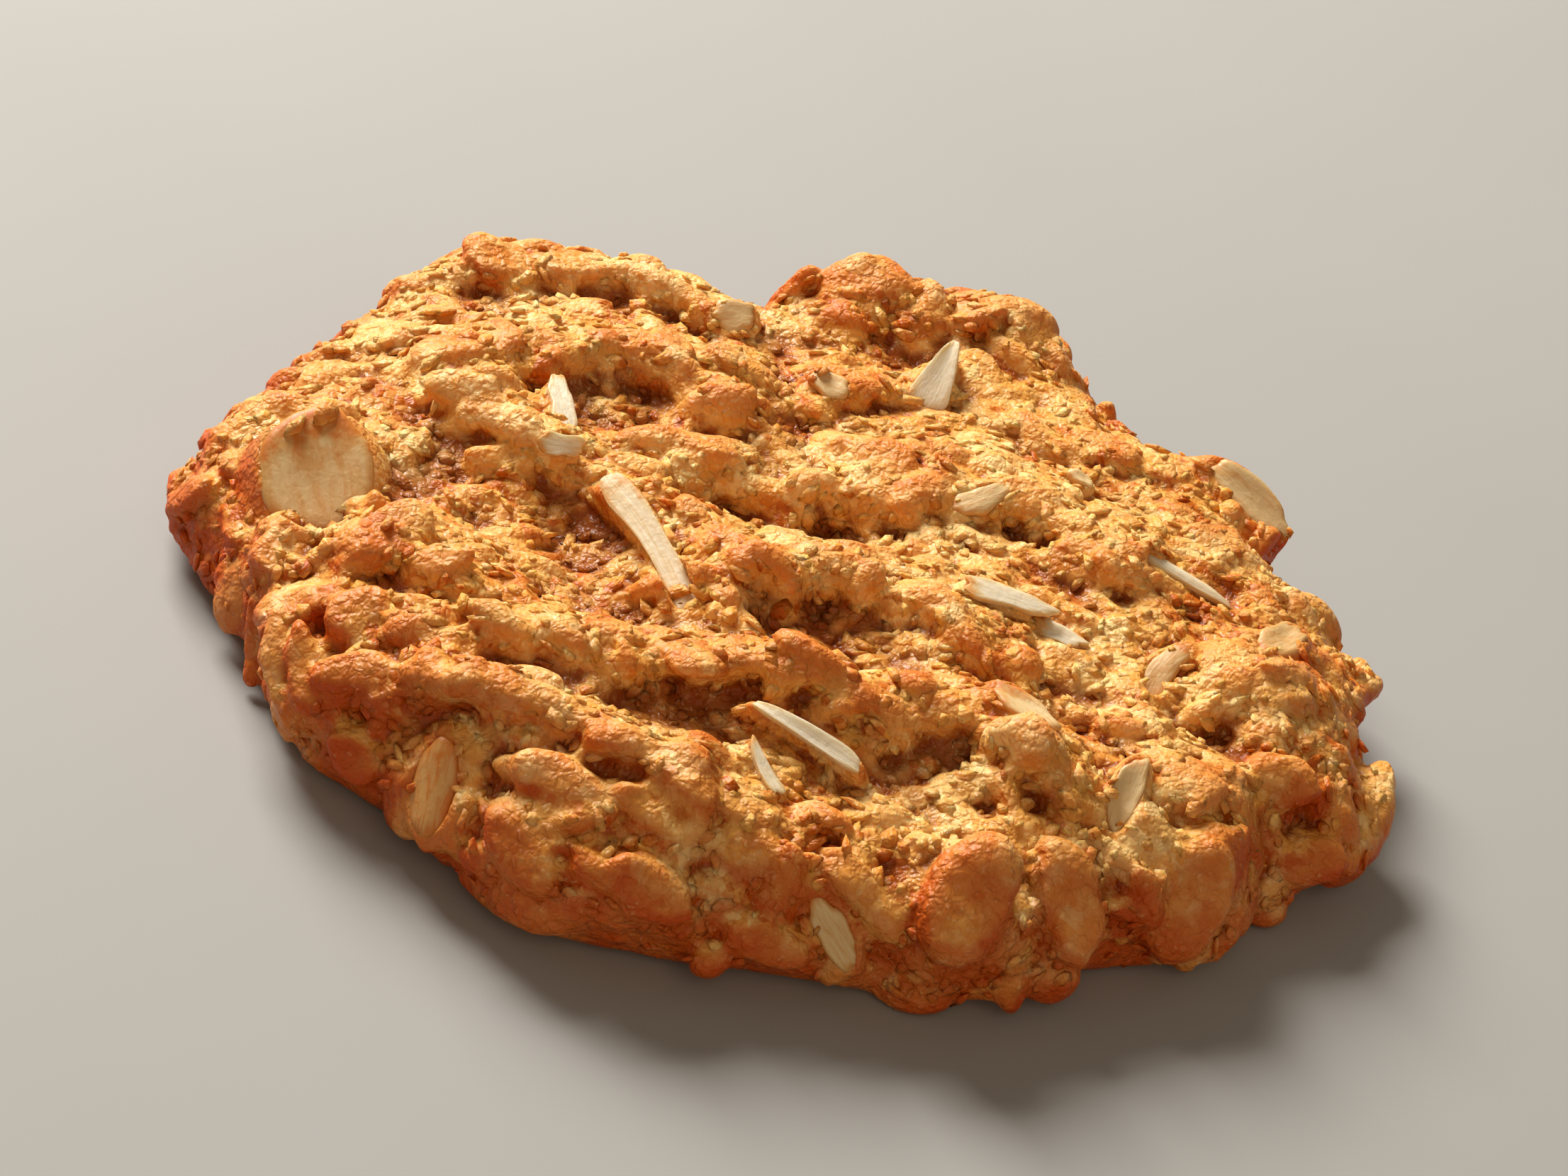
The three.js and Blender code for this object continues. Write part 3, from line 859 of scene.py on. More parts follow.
@dataclass(frozen=True)
class DoughFinish:
    """Baked dough: golden with browner crests and rim, dark brown in the hollows as its own colour and
    painted shade, sandy and a little greasy; painted shade in the creases and on the rim's sides, painted
    glints on the grains.
    """
    pale: Triple = srgb(240, 200, 130)
    golden: Triple = srgb(220, 156, 78)
    brown: Triple = srgb(188, 94, 14)
    deep: Triple = srgb(98, 32, 2)
    # the hollows' dark brown: partly their own sugary colour, partly painted shade
    amber_and_shade: Triple = srgb(136, 62, 16)
    russet: Triple = srgb(210, 116, 42)
    # the rim's crust: browner from baking, and darker still as painted shade on the sides
    crust: Triple = srgb(186, 70, 4)
    gold: Triple = srgb(230, 160, 66)
    # pale specks of flour and sugar, also used for painted glints on grain tops
    speck_and_glint: Triple = srgb(242, 208, 146)
    grain: float = 0.8
    patch: float = 9.0
    bit: float = 1.5
    swirl: float = 1.4
    swirl_reach: float = 1.6
    relief: float = 0.2
    specular: float = 0.19
    glow: float = 0.3
    glow_radius: Triple = (1.6, 0.7, 0.25)

    def material(self, effects: Effects) -> Material:
        """Wires the finish.

        Args:
            effects: the effects that it shares.

        Returns:
            The material.
        """
        material, wiring = finish("baked_dough")
        where = wiring.add("ShaderNodeTexCoord").outputs["Object"]
        fine, basin, rim, flake = (wiring.kept(name) for name in ("hollow", "basin", "rim", "flake"))
        scale = {"Scale": 1 / (self.grain * MM)}
        grain = wiring.add("ShaderNodeGroup", scale, node_tree=effects.grain).outputs
        patches = wiring.noise(self.patch, 3.0, where)
        stirred = wiring.stirred(where, 1 / (self.swirl * MM), 2.0, (self.swirl_reach * MM,) * 3)
        cells = wiring.add("ShaderNodeTexVoronoi", {"Vector": stirred, "Scale": 1 / (self.bit * MM)})
        bits = wiring.add("ShaderNodeSeparateColor", {0: cells.outputs["Color"]}).outputs

        bake = wiring.ranged(patches, 0.3, 0.7, 0.16, 0.5)
        for more in (
            # painted shade: the fine hollows and creases are baked darker
            wiring.ranged(fine, 0.04, 0.26, 0.0, 0.45),
            wiring.ranged(bits[0], 0.0, 1.0, -0.12, 0.12),
            wiring.ranged(grain["Tone"], 0.0, 1.0, -0.1, 0.1),
            wiring.times(rim, 0.1),
            wiring.times(flake, 0.2),
        ):
            bake = wiring.sum(bake, more)
        tones = {"Pale": self.pale, "Golden": self.golden, "Brown": self.brown, "Deep": self.deep}
        baked = wiring.add("ShaderNodeGroup", {"Bake": bake} | tones, node_tree=effects.browning)
        colour = baked.outputs["Color"]

        crests = wiring.ranged(basin, -0.15, -0.9, 0.0, 0.9)
        specks = wiring.times(grain["Grains"], wiring.ranged(patches, 0.6, 0.4, 0.05, 0.4))
        for share, tone in (
            (wiring.ranged(bits[1], 0.55, 0.75, 0.0, 0.5), self.gold),
            (wiring.ranged(flake, -0.2, -1.0, 0.0, 0.45), self.gold),
            # the wide hollows turn dark brown: partly their own colour, partly painted shade
            (wiring.ranged(basin, 0.1, 0.85, 0.0, 0.85), self.amber_and_shade),
            (wiring.times(crests, wiring.ranged(patches, 0.35, 0.62, 0.1, 0.8)), self.russet),
            # the rim's sides take the crust colour: partly baked browning, partly painted shade
            (wiring.times(rim, wiring.ranged(patches, 0.3, 0.6, 0.55, 0.95)), self.crust),
            # painted shade: the creases between grains are darkened
            (wiring.times(grain["Creases"], 0.06), self.deep),
            # painted glints: the grains' tops are paled
            (wiring.ranged(grain["Height"], 0.9, 1.5, 0.0, 0.22), self.speck_and_glint),
            (wiring.times(specks, wiring.ranged(rim, 0.0, 0.5, 1.0, 0.1)), self.speck_and_glint),
        ):
            colour = wiring.mixed(share, colour, tone)

        rough = wiring.ranged(basin, -0.4, 0.8, 0.45, 0.3)
        rough = wiring.sum(rough, wiring.times(grain["Grains"], 0.2), "SUBTRACT")
        wiring.shade({
            "Base Color": colour, "Roughness": rough, "Specular IOR Level": self.specular,
            "Normal": wiring.bumped(grain["Height"], self.relief, 0.8),
            "Subsurface Weight": self.glow, "Subsurface Scale": MM, "Subsurface Radius": self.glow_radius,
        })
        return material


@dataclass(frozen=True)
class FlakeFinish:
    """A pale flake or shred: a clean middle, edges that took colour in the oven, and streaks along it."""
    name: str
    clean: Triple
    warm: Triple
    toasted: Triple
    roughness: float = 0.5
    glow: float = 0.35
    glow_radius: Triple = (1.2, 0.9, 0.5)
    relief: float = 0.1
    grain: float = 0.8
    blotch: float = 2.2

    def material(self, effects: Effects) -> Material:
        """Wires the finish.

        Args:
            effects: the effects that it shares.

        Returns:
            The material.
        """
        material, wiring = finish(self.name)
        where = wiring.add("ShaderNodeTexCoord").outputs["Object"]
        along, across, tint, smear = (wiring.kept(name) for name in ("along", "across", "tint", "smear"))
        lengthwise = wiring.add("ShaderNodeCombineXYZ", {
            0: wiring.times(along, 1.6), 1: wiring.times(across, 4.0), 2: wiring.times(tint, 40.0),
        }).outputs[0]
        streaks = wiring.add("ShaderNodeTexNoise", {
            "Vector": lengthwise, "Scale": 1.0, "Detail": 5.0, "Roughness": 0.65, "Distortion": 0.6,
        }).outputs["Fac"]
        out = wiring.sum(wiring.sum(along, 2.0, "POWER"), wiring.sum(across, 2.0, "POWER"))
        blotches = wiring.noise(self.blotch, 4.0, where)
        reach = wiring.sum(wiring.times(smear, 1.5), wiring.times(blotches, 2.0))

        bake = wiring.ranged(out, 0.45, 1.2, 0.0, 0.3)
        for more in (
            wiring.ranged(wiring.sum(reach, along, "SUBTRACT"), 1.9, 2.7, 0.0, 0.6),
            wiring.ranged(streaks, 0.3, 0.75, -0.1, 0.22),
            wiring.times(tint, 0.14),
        ):
            bake = wiring.sum(bake, more)
        tones = {"Pale": self.clean, "Golden": self.warm, "Brown": self.toasted, "Deep": self.toasted}
        baked = wiring.add("ShaderNodeGroup", {"Bake": bake} | tones, node_tree=effects.browning)
        colour = baked.outputs["Color"]

        scale = {"Scale": 1 / (self.grain * MM)}
        grain = wiring.add("ShaderNodeGroup", scale, node_tree=effects.grain).outputs
        height = wiring.sum(streaks, wiring.times(grain["Height"], 0.3))
        wiring.shade({
            "Base Color": colour, "Normal": wiring.bumped(height, self.relief, 0.7),
            "Roughness": wiring.ranged(streaks, 0.3, 0.7, self.roughness - 0.1, self.roughness + 0.12),
            "Subsurface Weight": self.glow, "Subsurface Scale": MM, "Subsurface Radius": self.glow_radius,
        })
        return material


OAT_FINISH = FlakeFinish("bare_oat", srgb(218, 186, 132), srgb(206, 154, 86), srgb(200, 116, 28))
COCONUT_FINISH = FlakeFinish("coconut", srgb(234, 218, 188), srgb(218, 190, 142), srgb(206, 148, 72), 0.42)


# The dough

@dataclass(frozen=True)
class Fold:
    """A fold of dough across the top: places in the camera's frame that its crest runs by, and its size."""
    crest: tuple[Pair, ...]
    size: float = 1.0

    def along(self, step: float) -> list[Pair]:
        """Walks along the crest in steps of so many squares of the frame, and gives each step's place."""
        places = []
        for (across, down), end in zip(self.crest, self.crest[1:]):
            for share in np.arange(0, 1, step / math.dist((across, down), end)):
                places.append((across + (end[0] - across) * share, down + (end[1] - down) * share))
        return places


FOLDS = (
    Fold(((262, 436), (330, 442), (372, 454), (416, 480), (456, 510))),
    Fold(((208, 346), (257, 346), (313, 374))),
    Fold(((282, 406), (332, 400), (365, 404), (393, 418)), 0.9),
    Fold(((402, 430), (421, 420), (465, 426), (506, 420), (526, 431), (556, 448), (582, 466))),
    Fold(((582, 466), (624, 457), (647, 464), (670, 482), (687, 496), (690, 516)), 0.9),
    Fold(((428, 333), (452, 334), (471, 343), (495, 356), (517, 366),
          (558, 366), (580, 377), (604, 384), (640, 414))),
    Fold(((286, 234), (330, 266), (361, 296)), 0.9),
    Fold(((316, 228), (352, 222), (392, 220), (440, 233), (485, 259)), 1.1),
    Fold(((585, 316), (631, 304), (695, 330), (741, 367))),
    Fold(((260, 176), (309, 162), (386, 166), (468, 190)), 0.8),
    Fold(((650, 368), (675, 354), (702, 368)), 0.7),
    Fold(((790, 456), (820, 440), (862, 444)), 0.8),
    Fold(((395, 302), (420, 304), (440, 318)), 0.6),
    Fold(((540, 251), (562, 240), (580, 250)), 0.7),
    Fold(((440, 290), (482, 302), (522, 314), (562, 314), (590, 318)), 0.9),
)


@dataclass(frozen=True)
class Pit:
    """A hole in the crust, where the camera sees it."""
    square: Pair
    radius: float
    depth: float


PITS = (
    Pit((543, 547), 1.2, 2.0), Pit((368, 560), 1.2, 1.6), Pit((310, 548), 0.6, 0.8),
    Pit((708, 474), 1.0, 1.2), Pit((720, 554), 1.2, 1.2), Pit((727, 580), 1.6, 0.9),
    Pit((795, 480), 1.5, 1.6), Pit((450, 312), 2.8, 1.2), Pit((480, 323), 3.8, 1.9),
    Pit((512, 340), 3.8, 2.1), Pit((546, 348), 3.8, 2.1), Pit((580, 353), 3.2, 1.8),
    Pit((418, 275), 1.8, 1.6), Pit((345, 368), 4.0, 1.3), Pit((375, 384), 3.6, 1.3),
    Pit((190, 352), 4.2, 2.6), Pit((204, 334), 3.6, 1.6), Pit((209, 410), 1.1, 1.3),
    Pit((230, 466), 1.5, 1.3), Pit((655, 212), 1.5, 1.0), Pit((690, 300), 2.4, 1.0),
    Pit((742, 345), 2.2, 1.2), Pit((580, 566), 1.6, 1.0), Pit((676, 524), 1.4, 1.2),
    Pit((845, 540), 2.4, 1.2), Pit((862, 532), 2.0, 1.0),
)


@dataclass(frozen=True)
class Bits:
    """Bits that are scattered all over, of which the back's are kept: where they lie and how they look."""
    scatter: Scatter
    length: Pair
    slimness: Pair
    thickness: float
    proud: Pair
    tint: Pair
    seed: int


BITS = {
    Kind.OAT: Bits(Scatter(150, 4.5, (-0.9, 0.6), 6.0), length=(3.5, 7.0), slimness=(0.4, 0.6),
                   thickness=0.6, proud=(-0.1, 0.2), tint=(0.2, 1.2), seed=SEED + 40),
    Kind.COCONUT: Bits(Scatter(90, 4.5, (-0.9, 0.6), 7.0), length=(4.0, 8.0), slimness=(0.16, 0.28),
                       thickness=0.5, proud=(0.1, 0.4), tint=(-0.2, 0.8), seed=SEED + 41),
}


@dataclass(frozen=True)
class Bed:
    """How dough holds a bare thing: how far out it heaps, its lip's height, and how square the thing is."""
    heap_reach: float
    lip: float
    squareness: float


BEDS = {Kind.OAT: Bed(1.5, -0.25, 2.0), Kind.COCONUT: Bed(1.3, -0.4, 4.0)}


@dataclass(frozen=True)
class Heave:
    """An unevenness of the crust: its name, its size, how far it heaves, and how often it is broken up."""
    name: str
    size: float
    strength: float
    octaves: int


HEAVES = (Heave("heave", 4.8, 0.9, 0), Heave("crumble", 2.0, 0.32, 1), Heave("grit", 0.75, 0.2, 1))
SOFT_EDGE = (1.1, 0.85)
UNEVEN_WAVES = np.array([[1.3, 0.7, 1.6], [0.7, 1.5, 1.2], [1.1, 1.3, 0.5]])


@dataclass
class Dough:
    """The baked dough, with coated oats and crumbs sunk into it."""
    core_voxel: float = 0.55
    core_evening: int = 7
    fold_evening: int = 4
    voxel: float = 0.29
    evening: int = 2
    pit_evening: int = 1
    triangles: int = 194_000
    fold_step: float = 13.0
    fold_stray: float = 3.0
    fold_drop: float = 14.0
    fold_radius: Pair = (1.5, 2.1)
    groove_step: float = 7.0
    groove_stray: float = 4.0
    groove_drop: Pair = (24.0, 32.0)
    groove_radius: Pair = (1.4, 1.9)
    groove_depth: Pair = (0.3, 0.6)
    core_level: Pair = (0.15, 0.65)
    level_height: Pair = (3.0, 7.0)
    level_slope: Pair = (0.2, 0.6)
    free_height: Pair = (0.15, 1.6)
    free_steps: int = 10
    oat_hold: float = 0.55
    heave_middle: float = 0.3
    pit_unevenness: float = 0.3
    lay_stretch: float = 1.6
    lay_turn: float = -8.0
    flakes: Scatter = Scatter(200, 3.4, (-0.7, 0.6), 3.2)
    lumps: Scatter = Scatter(260, 2.2, (-0.8, 0.9), 2.2)
    crumbs: Scatter = Scatter(2600, 0.8, (-0.2, 9.0), 0.5)
    flake_length: Pair = (4.2, 8.5)
    flake_reach: float = 1.5
    flake_slimness: Pair = (0.42, 0.64)
    flake_thickness: Pair = (1.0, 1.7)
    crumb_radius: Pair = (0.26, 0.6)
    bed: float = 0.3
    deepest_bed: float = 2.2
    highest_bed: float = 4.5
    hidden_bed: float = 0.4
    lip_unevenness: float = 0.3
    lip_reach: Pair = (0.8, 1.05)
    lip_wander: float = 0.25
    cover_reach: Pair = (0.9, 1.2)
    cover_wander: float = 0.4
    press_reach: Pair = (1.08, 0.88)
    rim_reach: Pair = (0.68, 0.95)
    rim_slope: Pair = (0.9, 0.2)
    rim_fade: float = 0.6
    half_size: Pair = (46.0, 42.0)
    fine_rounds: int = 6
    basin_rounds: int = 120
    seed: int = SEED
    oats: list[Copy] = field(default_factory=list)
    coated: list[Copy] = field(default_factory=list)
    grains: list[Copy] = field(default_factory=list)
    bare: dict[Kind, list[Copy]] = field(default_factory=dict)

    def build(self, node: Piece) -> Piece:
        """Builds the dough over the solid.

        Args:
            node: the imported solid.

        Returns:
            The dough.
        """
        core = self._core(node)
        self._level(core)
        folded = joined("folded_dough", [core, self._fold_lumps(Surface(core))])
        self._blend(folded, self.core_voxel, self.fold_evening)
        surface = Surface(folded)
        dough = joined("dough", [folded, self._flakes(surface), self._lumps(surface), self._crumbs(surface)])
        self._blend(dough, self.voxel, self.evening)
        self._prick(dough)
        self._blend(dough, self.voxel, self.pit_evening)
        self._roughen(dough)
        self._bed(dough)
        settle(dough)
        ratio = self.triangles / (2 * len(dough.data.polygons))
        apply_modifier(dough, "DECIMATE", ratio=min(1.0, ratio), use_collapse_triangulate=True)
        self._mark(dough)
        select_only(dough)
        bpy.ops.object.shade_smooth()
        return dough

    def _core(self, node: Piece) -> Piece:
        """A copy of the solid with its facets evened out."""
        core = bpy.data.objects.new("dough_core", node.data.copy())
        bpy.context.collection.objects.link(core)
        select_faces(core, lambda face: True)
        bpy.ops.mesh.remove_doubles(threshold=MM / 1000)
        bpy.ops.object.mode_set(mode="OBJECT")
        self._blend(core, self.core_voxel, self.core_evening)
        return core

    @staticmethod
    def _blend(piece: Piece, voxel: float, rounds: int) -> None:
        """Makes one skin of parts that overlap, and evens it.

        Args:
            piece: the joined parts.
            voxel: how fine the skin's mesh is.
            rounds: how many times it is evened.
        """
        apply_modifier(piece, "REMESH", mode="VOXEL", voxel_size=voxel * MM)
        apply_modifier(piece, "SMOOTH", factor=0.5, iterations=rounds)

    def _fold_lumps(self, surface: Surface) -> Piece:
        """Lumps of dough along each fold's crest, a little towards the front, so that the crest overhangs."""
        draws = random.Random(self.seed + 1)
        copies = [surface.laid(shown) for shown in SHOWN[Kind.LUMP]]
        self.oats += copies
        for fold in FOLDS:
            for across, down in fold.along(self.fold_step):
                across += draws.uniform(-self.fold_stray, self.fold_stray)
                down = down + self.fold_drop + draws.uniform(-self.fold_stray, self.fold_stray)
                radius = draws.uniform(*self.fold_radius) * fold.size
                lie = Lie(radius * 2, radius * 1.7, radius * 3.4, turn=draws.gauss(-14, 16),
                          proud=draws.uniform(-0.3, 0.3), ragged=0.05)
                copies.append(Copy(surface.seen((across, down)), lie))
        return cast("fold_lumps", CrumbMould().model(), copies, self.seed + 2)

    def _level(self, dough: Piece) -> None:
        """Evens the top out part of the way: fills its wide hollows and wears its crests down."""
        points = points_of(dough)
        depths = hollows(dough, Surface.WIDE)
        depths *= np.where(depths > 0, *self.core_level) * smooth_step(points[:, 2], *self.level_height)
        depths *= smooth_step(normals_of(dough)[:, 2], *self.level_slope)
        set_points(dough, points + normals_of(dough) * depths[:, None])

    def _flakes(self, surface: Surface) -> Piece:
        """Oats under the crust: the ones that show plainly, and others all over."""
        draws = random.Random(self.seed + 3)
        copies = []
        for site in surface.scattered(self.flakes, self.seed + 4):
            length = min(draws.uniform(*self.flake_length), site.place[2] * self.flake_reach)
            copies.append(Copy(site, Lie(
                length * draws.uniform(*self.flake_slimness), draws.uniform(*self.flake_thickness), length,
                turn=draws.gauss(self.lay_turn, 35), lean=draws.gauss(0, 12), tip=draws.gauss(0, 7),
                proud=draws.uniform(-0.1, 0.3), droop=draws.uniform(0.1, 0.6), cup=draws.uniform(-0.5, 0.0),
                tint=draws.uniform(-1, 1))))
        self.coated = [surface.laid(shown) for shown in SHOWN[Kind.COATED]]
        copies += self.coated
        self.oats += copies
        return cast("coated_oats", FlakeMould().model(), copies, self.seed + 5)

    def _lumps(self, surface: Surface) -> Piece:
        """Rounded lumps of dough, mostly longer across the biscuit than from front to back."""
        draws = random.Random(self.seed + 13)
        copies = []
        for site in surface.scattered(self.lumps, self.seed + 14):
            width = min(draws.uniform(1.4, 3.2), site.place[2])
            copies.append(Copy(site, Lie(
                width, width * draws.uniform(0.7, 0.9), width * draws.uniform(1.3, 2.6),
                turn=draws.gauss(self.lay_turn, 30), lean=draws.gauss(0, 12), tip=draws.gauss(0, 7),
                proud=draws.uniform(-0.1, 0.15) * width, ragged=0.08, tint=draws.uniform(-1, 1))))
        self.oats += copies
        return cast("dough_lumps", CrumbMould().model(), copies, self.seed + 15)

    def _crumbs(self, surface: Surface) -> Piece:
        """Crumbs sunk into the crust."""
        draws = random.Random(self.seed + 6)
        copies = []
        for site in surface.scattered(self.crumbs, self.seed + 7):
            radius = draws.uniform(*self.crumb_radius)
            copies.append(Copy(site, Lie(
                radius * 2, radius * 1.7, radius * draws.uniform(2.0, 3.8),
                turn=draws.gauss(self.lay_turn, 45), lean=draws.gauss(0, 15),
                proud=draws.uniform(-0.1, 0.5) * radius, tint=draws.uniform(-1, 1))))
        self.grains = copies
        return cast("sunk_crumbs", CrumbMould(fineness=1).model(), copies, self.seed + 8)

    def _roughen(self, dough: Piece) -> None:
        """Heaves the crust unevenly, coarse and fine, less so near the underside."""
        points = points_of(dough)
        free = dough.vertex_groups.new(name="free")
        held = self.oat_hold * self.over(points, self.oats)[0]
        shares = smooth_step(points[:, 2], *self.free_height) * (1 - held)
        for level in range(1, self.free_steps + 1):
            picked = np.flatnonzero(np.round(shares * self.free_steps) == level).tolist()
            free.add(picked, level / self.free_steps, "REPLACE")
        lay = bpy.data.objects.new("lump_lay", None)
        lay.scale = (self.lay_stretch, 1, 1)
        lay.rotation_euler.z = math.radians(self.lay_turn)
        bpy.context.collection.objects.link(lay)
        bpy.context.view_layer.update()
        for heave in HEAVES:
            texture = bpy.data.textures.new(heave.name, "CLOUDS")
            texture.noise_type = "HARD_NOISE"
            texture.noise_scale = heave.size * MM
            texture.noise_depth = heave.octaves
            apply_modifier(dough, "DISPLACE", texture=texture, texture_coords="OBJECT",
                           texture_coords_object=lay, strength=heave.strength * MM,
                           mid_level=self.heave_middle, vertex_group="free")
        bpy.data.objects.remove(lay)
        dough.vertex_groups.clear()

    def _prick(self, dough: Piece) -> None:
        """Sinks the pits, and the grooves in front of the folds, into the crust."""
        draws = random.Random(self.seed + 9)
        surface = Surface(dough)
        holes = [(surface.seen(pit.square), pit.radius, pit.depth) for pit in PITS]
        for fold in FOLDS:
            for across, down in fold.along(self.groove_step):
                across += draws.uniform(-self.groove_stray, self.groove_stray)
                down += draws.uniform(*self.groove_drop) * fold.size
                depth = draws.uniform(*self.groove_depth) * fold.size
                holes.append((surface.seen((across, down)), draws.uniform(*self.groove_radius), depth))
        points = points_of(dough)
        tree = tree_of(points)
        uneven = np.sin(points @ UNEVEN_WAVES * 2).mean(axis=1)
        for site, radius, depth in holes:
            for _, index, distance in tree.find_range(site.place, radius):
                share = max(0.0, 1 - (distance / radius) ** 2 - self.pit_unevenness * abs(uneven[index]))
                points[index] -= site.facing * depth * share ** 1.5
        set_points(dough, points)

    def _bed(self, dough: Piece) -> None:
        """Lays out the bare flakes and shreds, and presses the dough down or heaps it up to meet them."""
        surface = Surface(dough)
        points = points_of(dough)
        tree = tree_of(points)
        for kind, bed in BEDS.items():
            shown = [surface.laid(one) for one in SHOWN[kind]]
            self.bare[kind] = shown + self._bits(surface, kind)
            for number, copy in enumerate(self.bare[kind]):
                highest = self.highest_bed if number < len(shown) else self.hidden_bed
                reach = copy.lie.length * bed.heap_reach / 2 + 1
                near = [index for _, index, _ in tree.find_range(copy.middle(), reach)]
                up = copy.frame()[2]
                out, along, height = copy.spread(points[near], bed.squareness)
                uneven = np.sin(points[near] @ UNEVEN_WAVES).mean(axis=1)
                lip = copy.lie.thickness / 2 + bed.lip + self.lip_unevenness * uneven
                ends = (copy.lie.cover * 2 - reach for reach in self.cover_reach)
                smeared = smooth_step(along + uneven * self.cover_wander, *ends)
                covered = np.maximum(smooth_step(out + uneven * self.lip_wander, *self.lip_reach), smeared)
                level = covered * lip - (1 - covered) * copy.lie.thickness * self.bed
                gap = level - height
                pressed = np.clip(gap, -self.deepest_bed, 0) * smooth_step(out, *self.press_reach)
                heaped = np.clip(gap, 0, highest) * smooth_step(out, bed.heap_reach, 1.0)
                heaped *= (gap < self.highest_bed) & (surface.normals[near] @ up > 0.1)
                points[near] += np.outer(pressed + heaped, up)
        set_points(dough, points)

    def _bits(self, surface: Surface, kind: Kind) -> list[Copy]:
        """Lays small bits of oat or coconut all over.

        Args:
            surface: the dough's surface.
            kind: oat or coconut.

        Returns:
            The bits.
        """
        spread = BITS[kind]
        draws = random.Random(spread.seed)
        copies = []
        for site in surface.scattered(spread.scatter, spread.seed):
            length = draws.uniform(*spread.length)
            copy = Copy(site, Lie(
                length * draws.uniform(*spread.slimness), spread.thickness, length,
                turn=draws.uniform(0, 360), lean=draws.gauss(0, 12), tip=draws.gauss(0, 8),
                proud=draws.uniform(*spread.proud), cup=draws.uniform(-0.3, 0.3),
                bend=draws.uniform(-0.1, 0.1) * length, taper=draws.uniform(-0.3, 0.3), ragged=0.08,
                tint=draws.uniform(*spread.tint)))
            ends = copy.spots(np.array([-1.2, 0, 1.2]), np.zeros(3), np.full(3, 1.5))
            if all(surface.hides(place) for place in ends):
                copies.append(copy)
        return copies

    def _mark(self, dough: Piece) -> None:
        """Keeps for each point what its colour depends on: hollows fine and wide, where the finish paints
        shade, the rim, browned and also darkened with painted shade, and its oat.
        """
        points = points_of(dough)
        normals = normals_of(dough)
        out = np.hypot(*(points[:, :2] / self.half_size).T)
        set_attribute(dough, "hollow", hollows(dough, self.fine_rounds))
        set_attribute(dough, "basin", hollows(dough, self.basin_rounds))
        tones = self.over(points, self.oats + self.grains)[1]
        rim = smooth_step(out, *self.rim_reach) * smooth_step(normals[:, 2], *self.rim_slope)
        set_attribute(dough, "rim", rim * (1 + self.rim_fade * np.minimum(0, tones)))
        set_attribute(dough, "flake", tones)

    @staticmethod
    def over(points: np.ndarray, copies: list[Copy]) -> tuple[np.ndarray, np.ndarray]:
        """Finds which oat or crumb under the crust each point lies on.

        Args:
            points: the dough's points.
            copies: the oats or crumbs.

        Returns:
            How surely each point lies on one, and the tint of that one.
        """
        cover = np.zeros(len(points))
        tones = np.zeros(len(points))
        tree = tree_of(points)
        for copy in copies:
            near = [index for _, index, _ in tree.find_range(copy.middle(), copy.lie.length / 2)]
            out, _, height = copy.spread(points[near])
            share = smooth_step(out, *SOFT_EDGE) * (height > -copy.lie.thickness)
            cover[near] = np.maximum(cover[near], share)
            tones[near] += (copy.lie.tint - tones[near]) * share
        return cover, tones


@dataclass
class BareOats:
    """Oat flakes that the crust left bare."""
    seed: int = SEED + 20

    def build(self, copies: list[Copy]) -> Piece:
        """Lays the flakes on the dough.

        Args:
            copies: how each flake lies.

        Returns:
            The flakes as one piece.
        """
        piece = cast("bare_oats", FlakeMould(sides=20).model(), copies, self.seed)
        select_only(piece)
        bpy.ops.object.shade_smooth()
        return piece


@dataclass
class Coconut:
    """Shreds of coconut."""
    sharp: float = 40.0
    seed: int = SEED + 30

    def build(self, copies: list[Copy]) -> Piece:
        """Lays the shreds on the dough.

        Args:
            copies: how each shred lies.

        Returns:
            The shreds as one piece.
        """
        piece = cast("coconut_shreds", ShredMould().model(), copies, self.seed)
        select_only(piece)
        bpy.ops.object.shade_smooth_by_angle(angle=math.radians(self.sharp))
        return piece


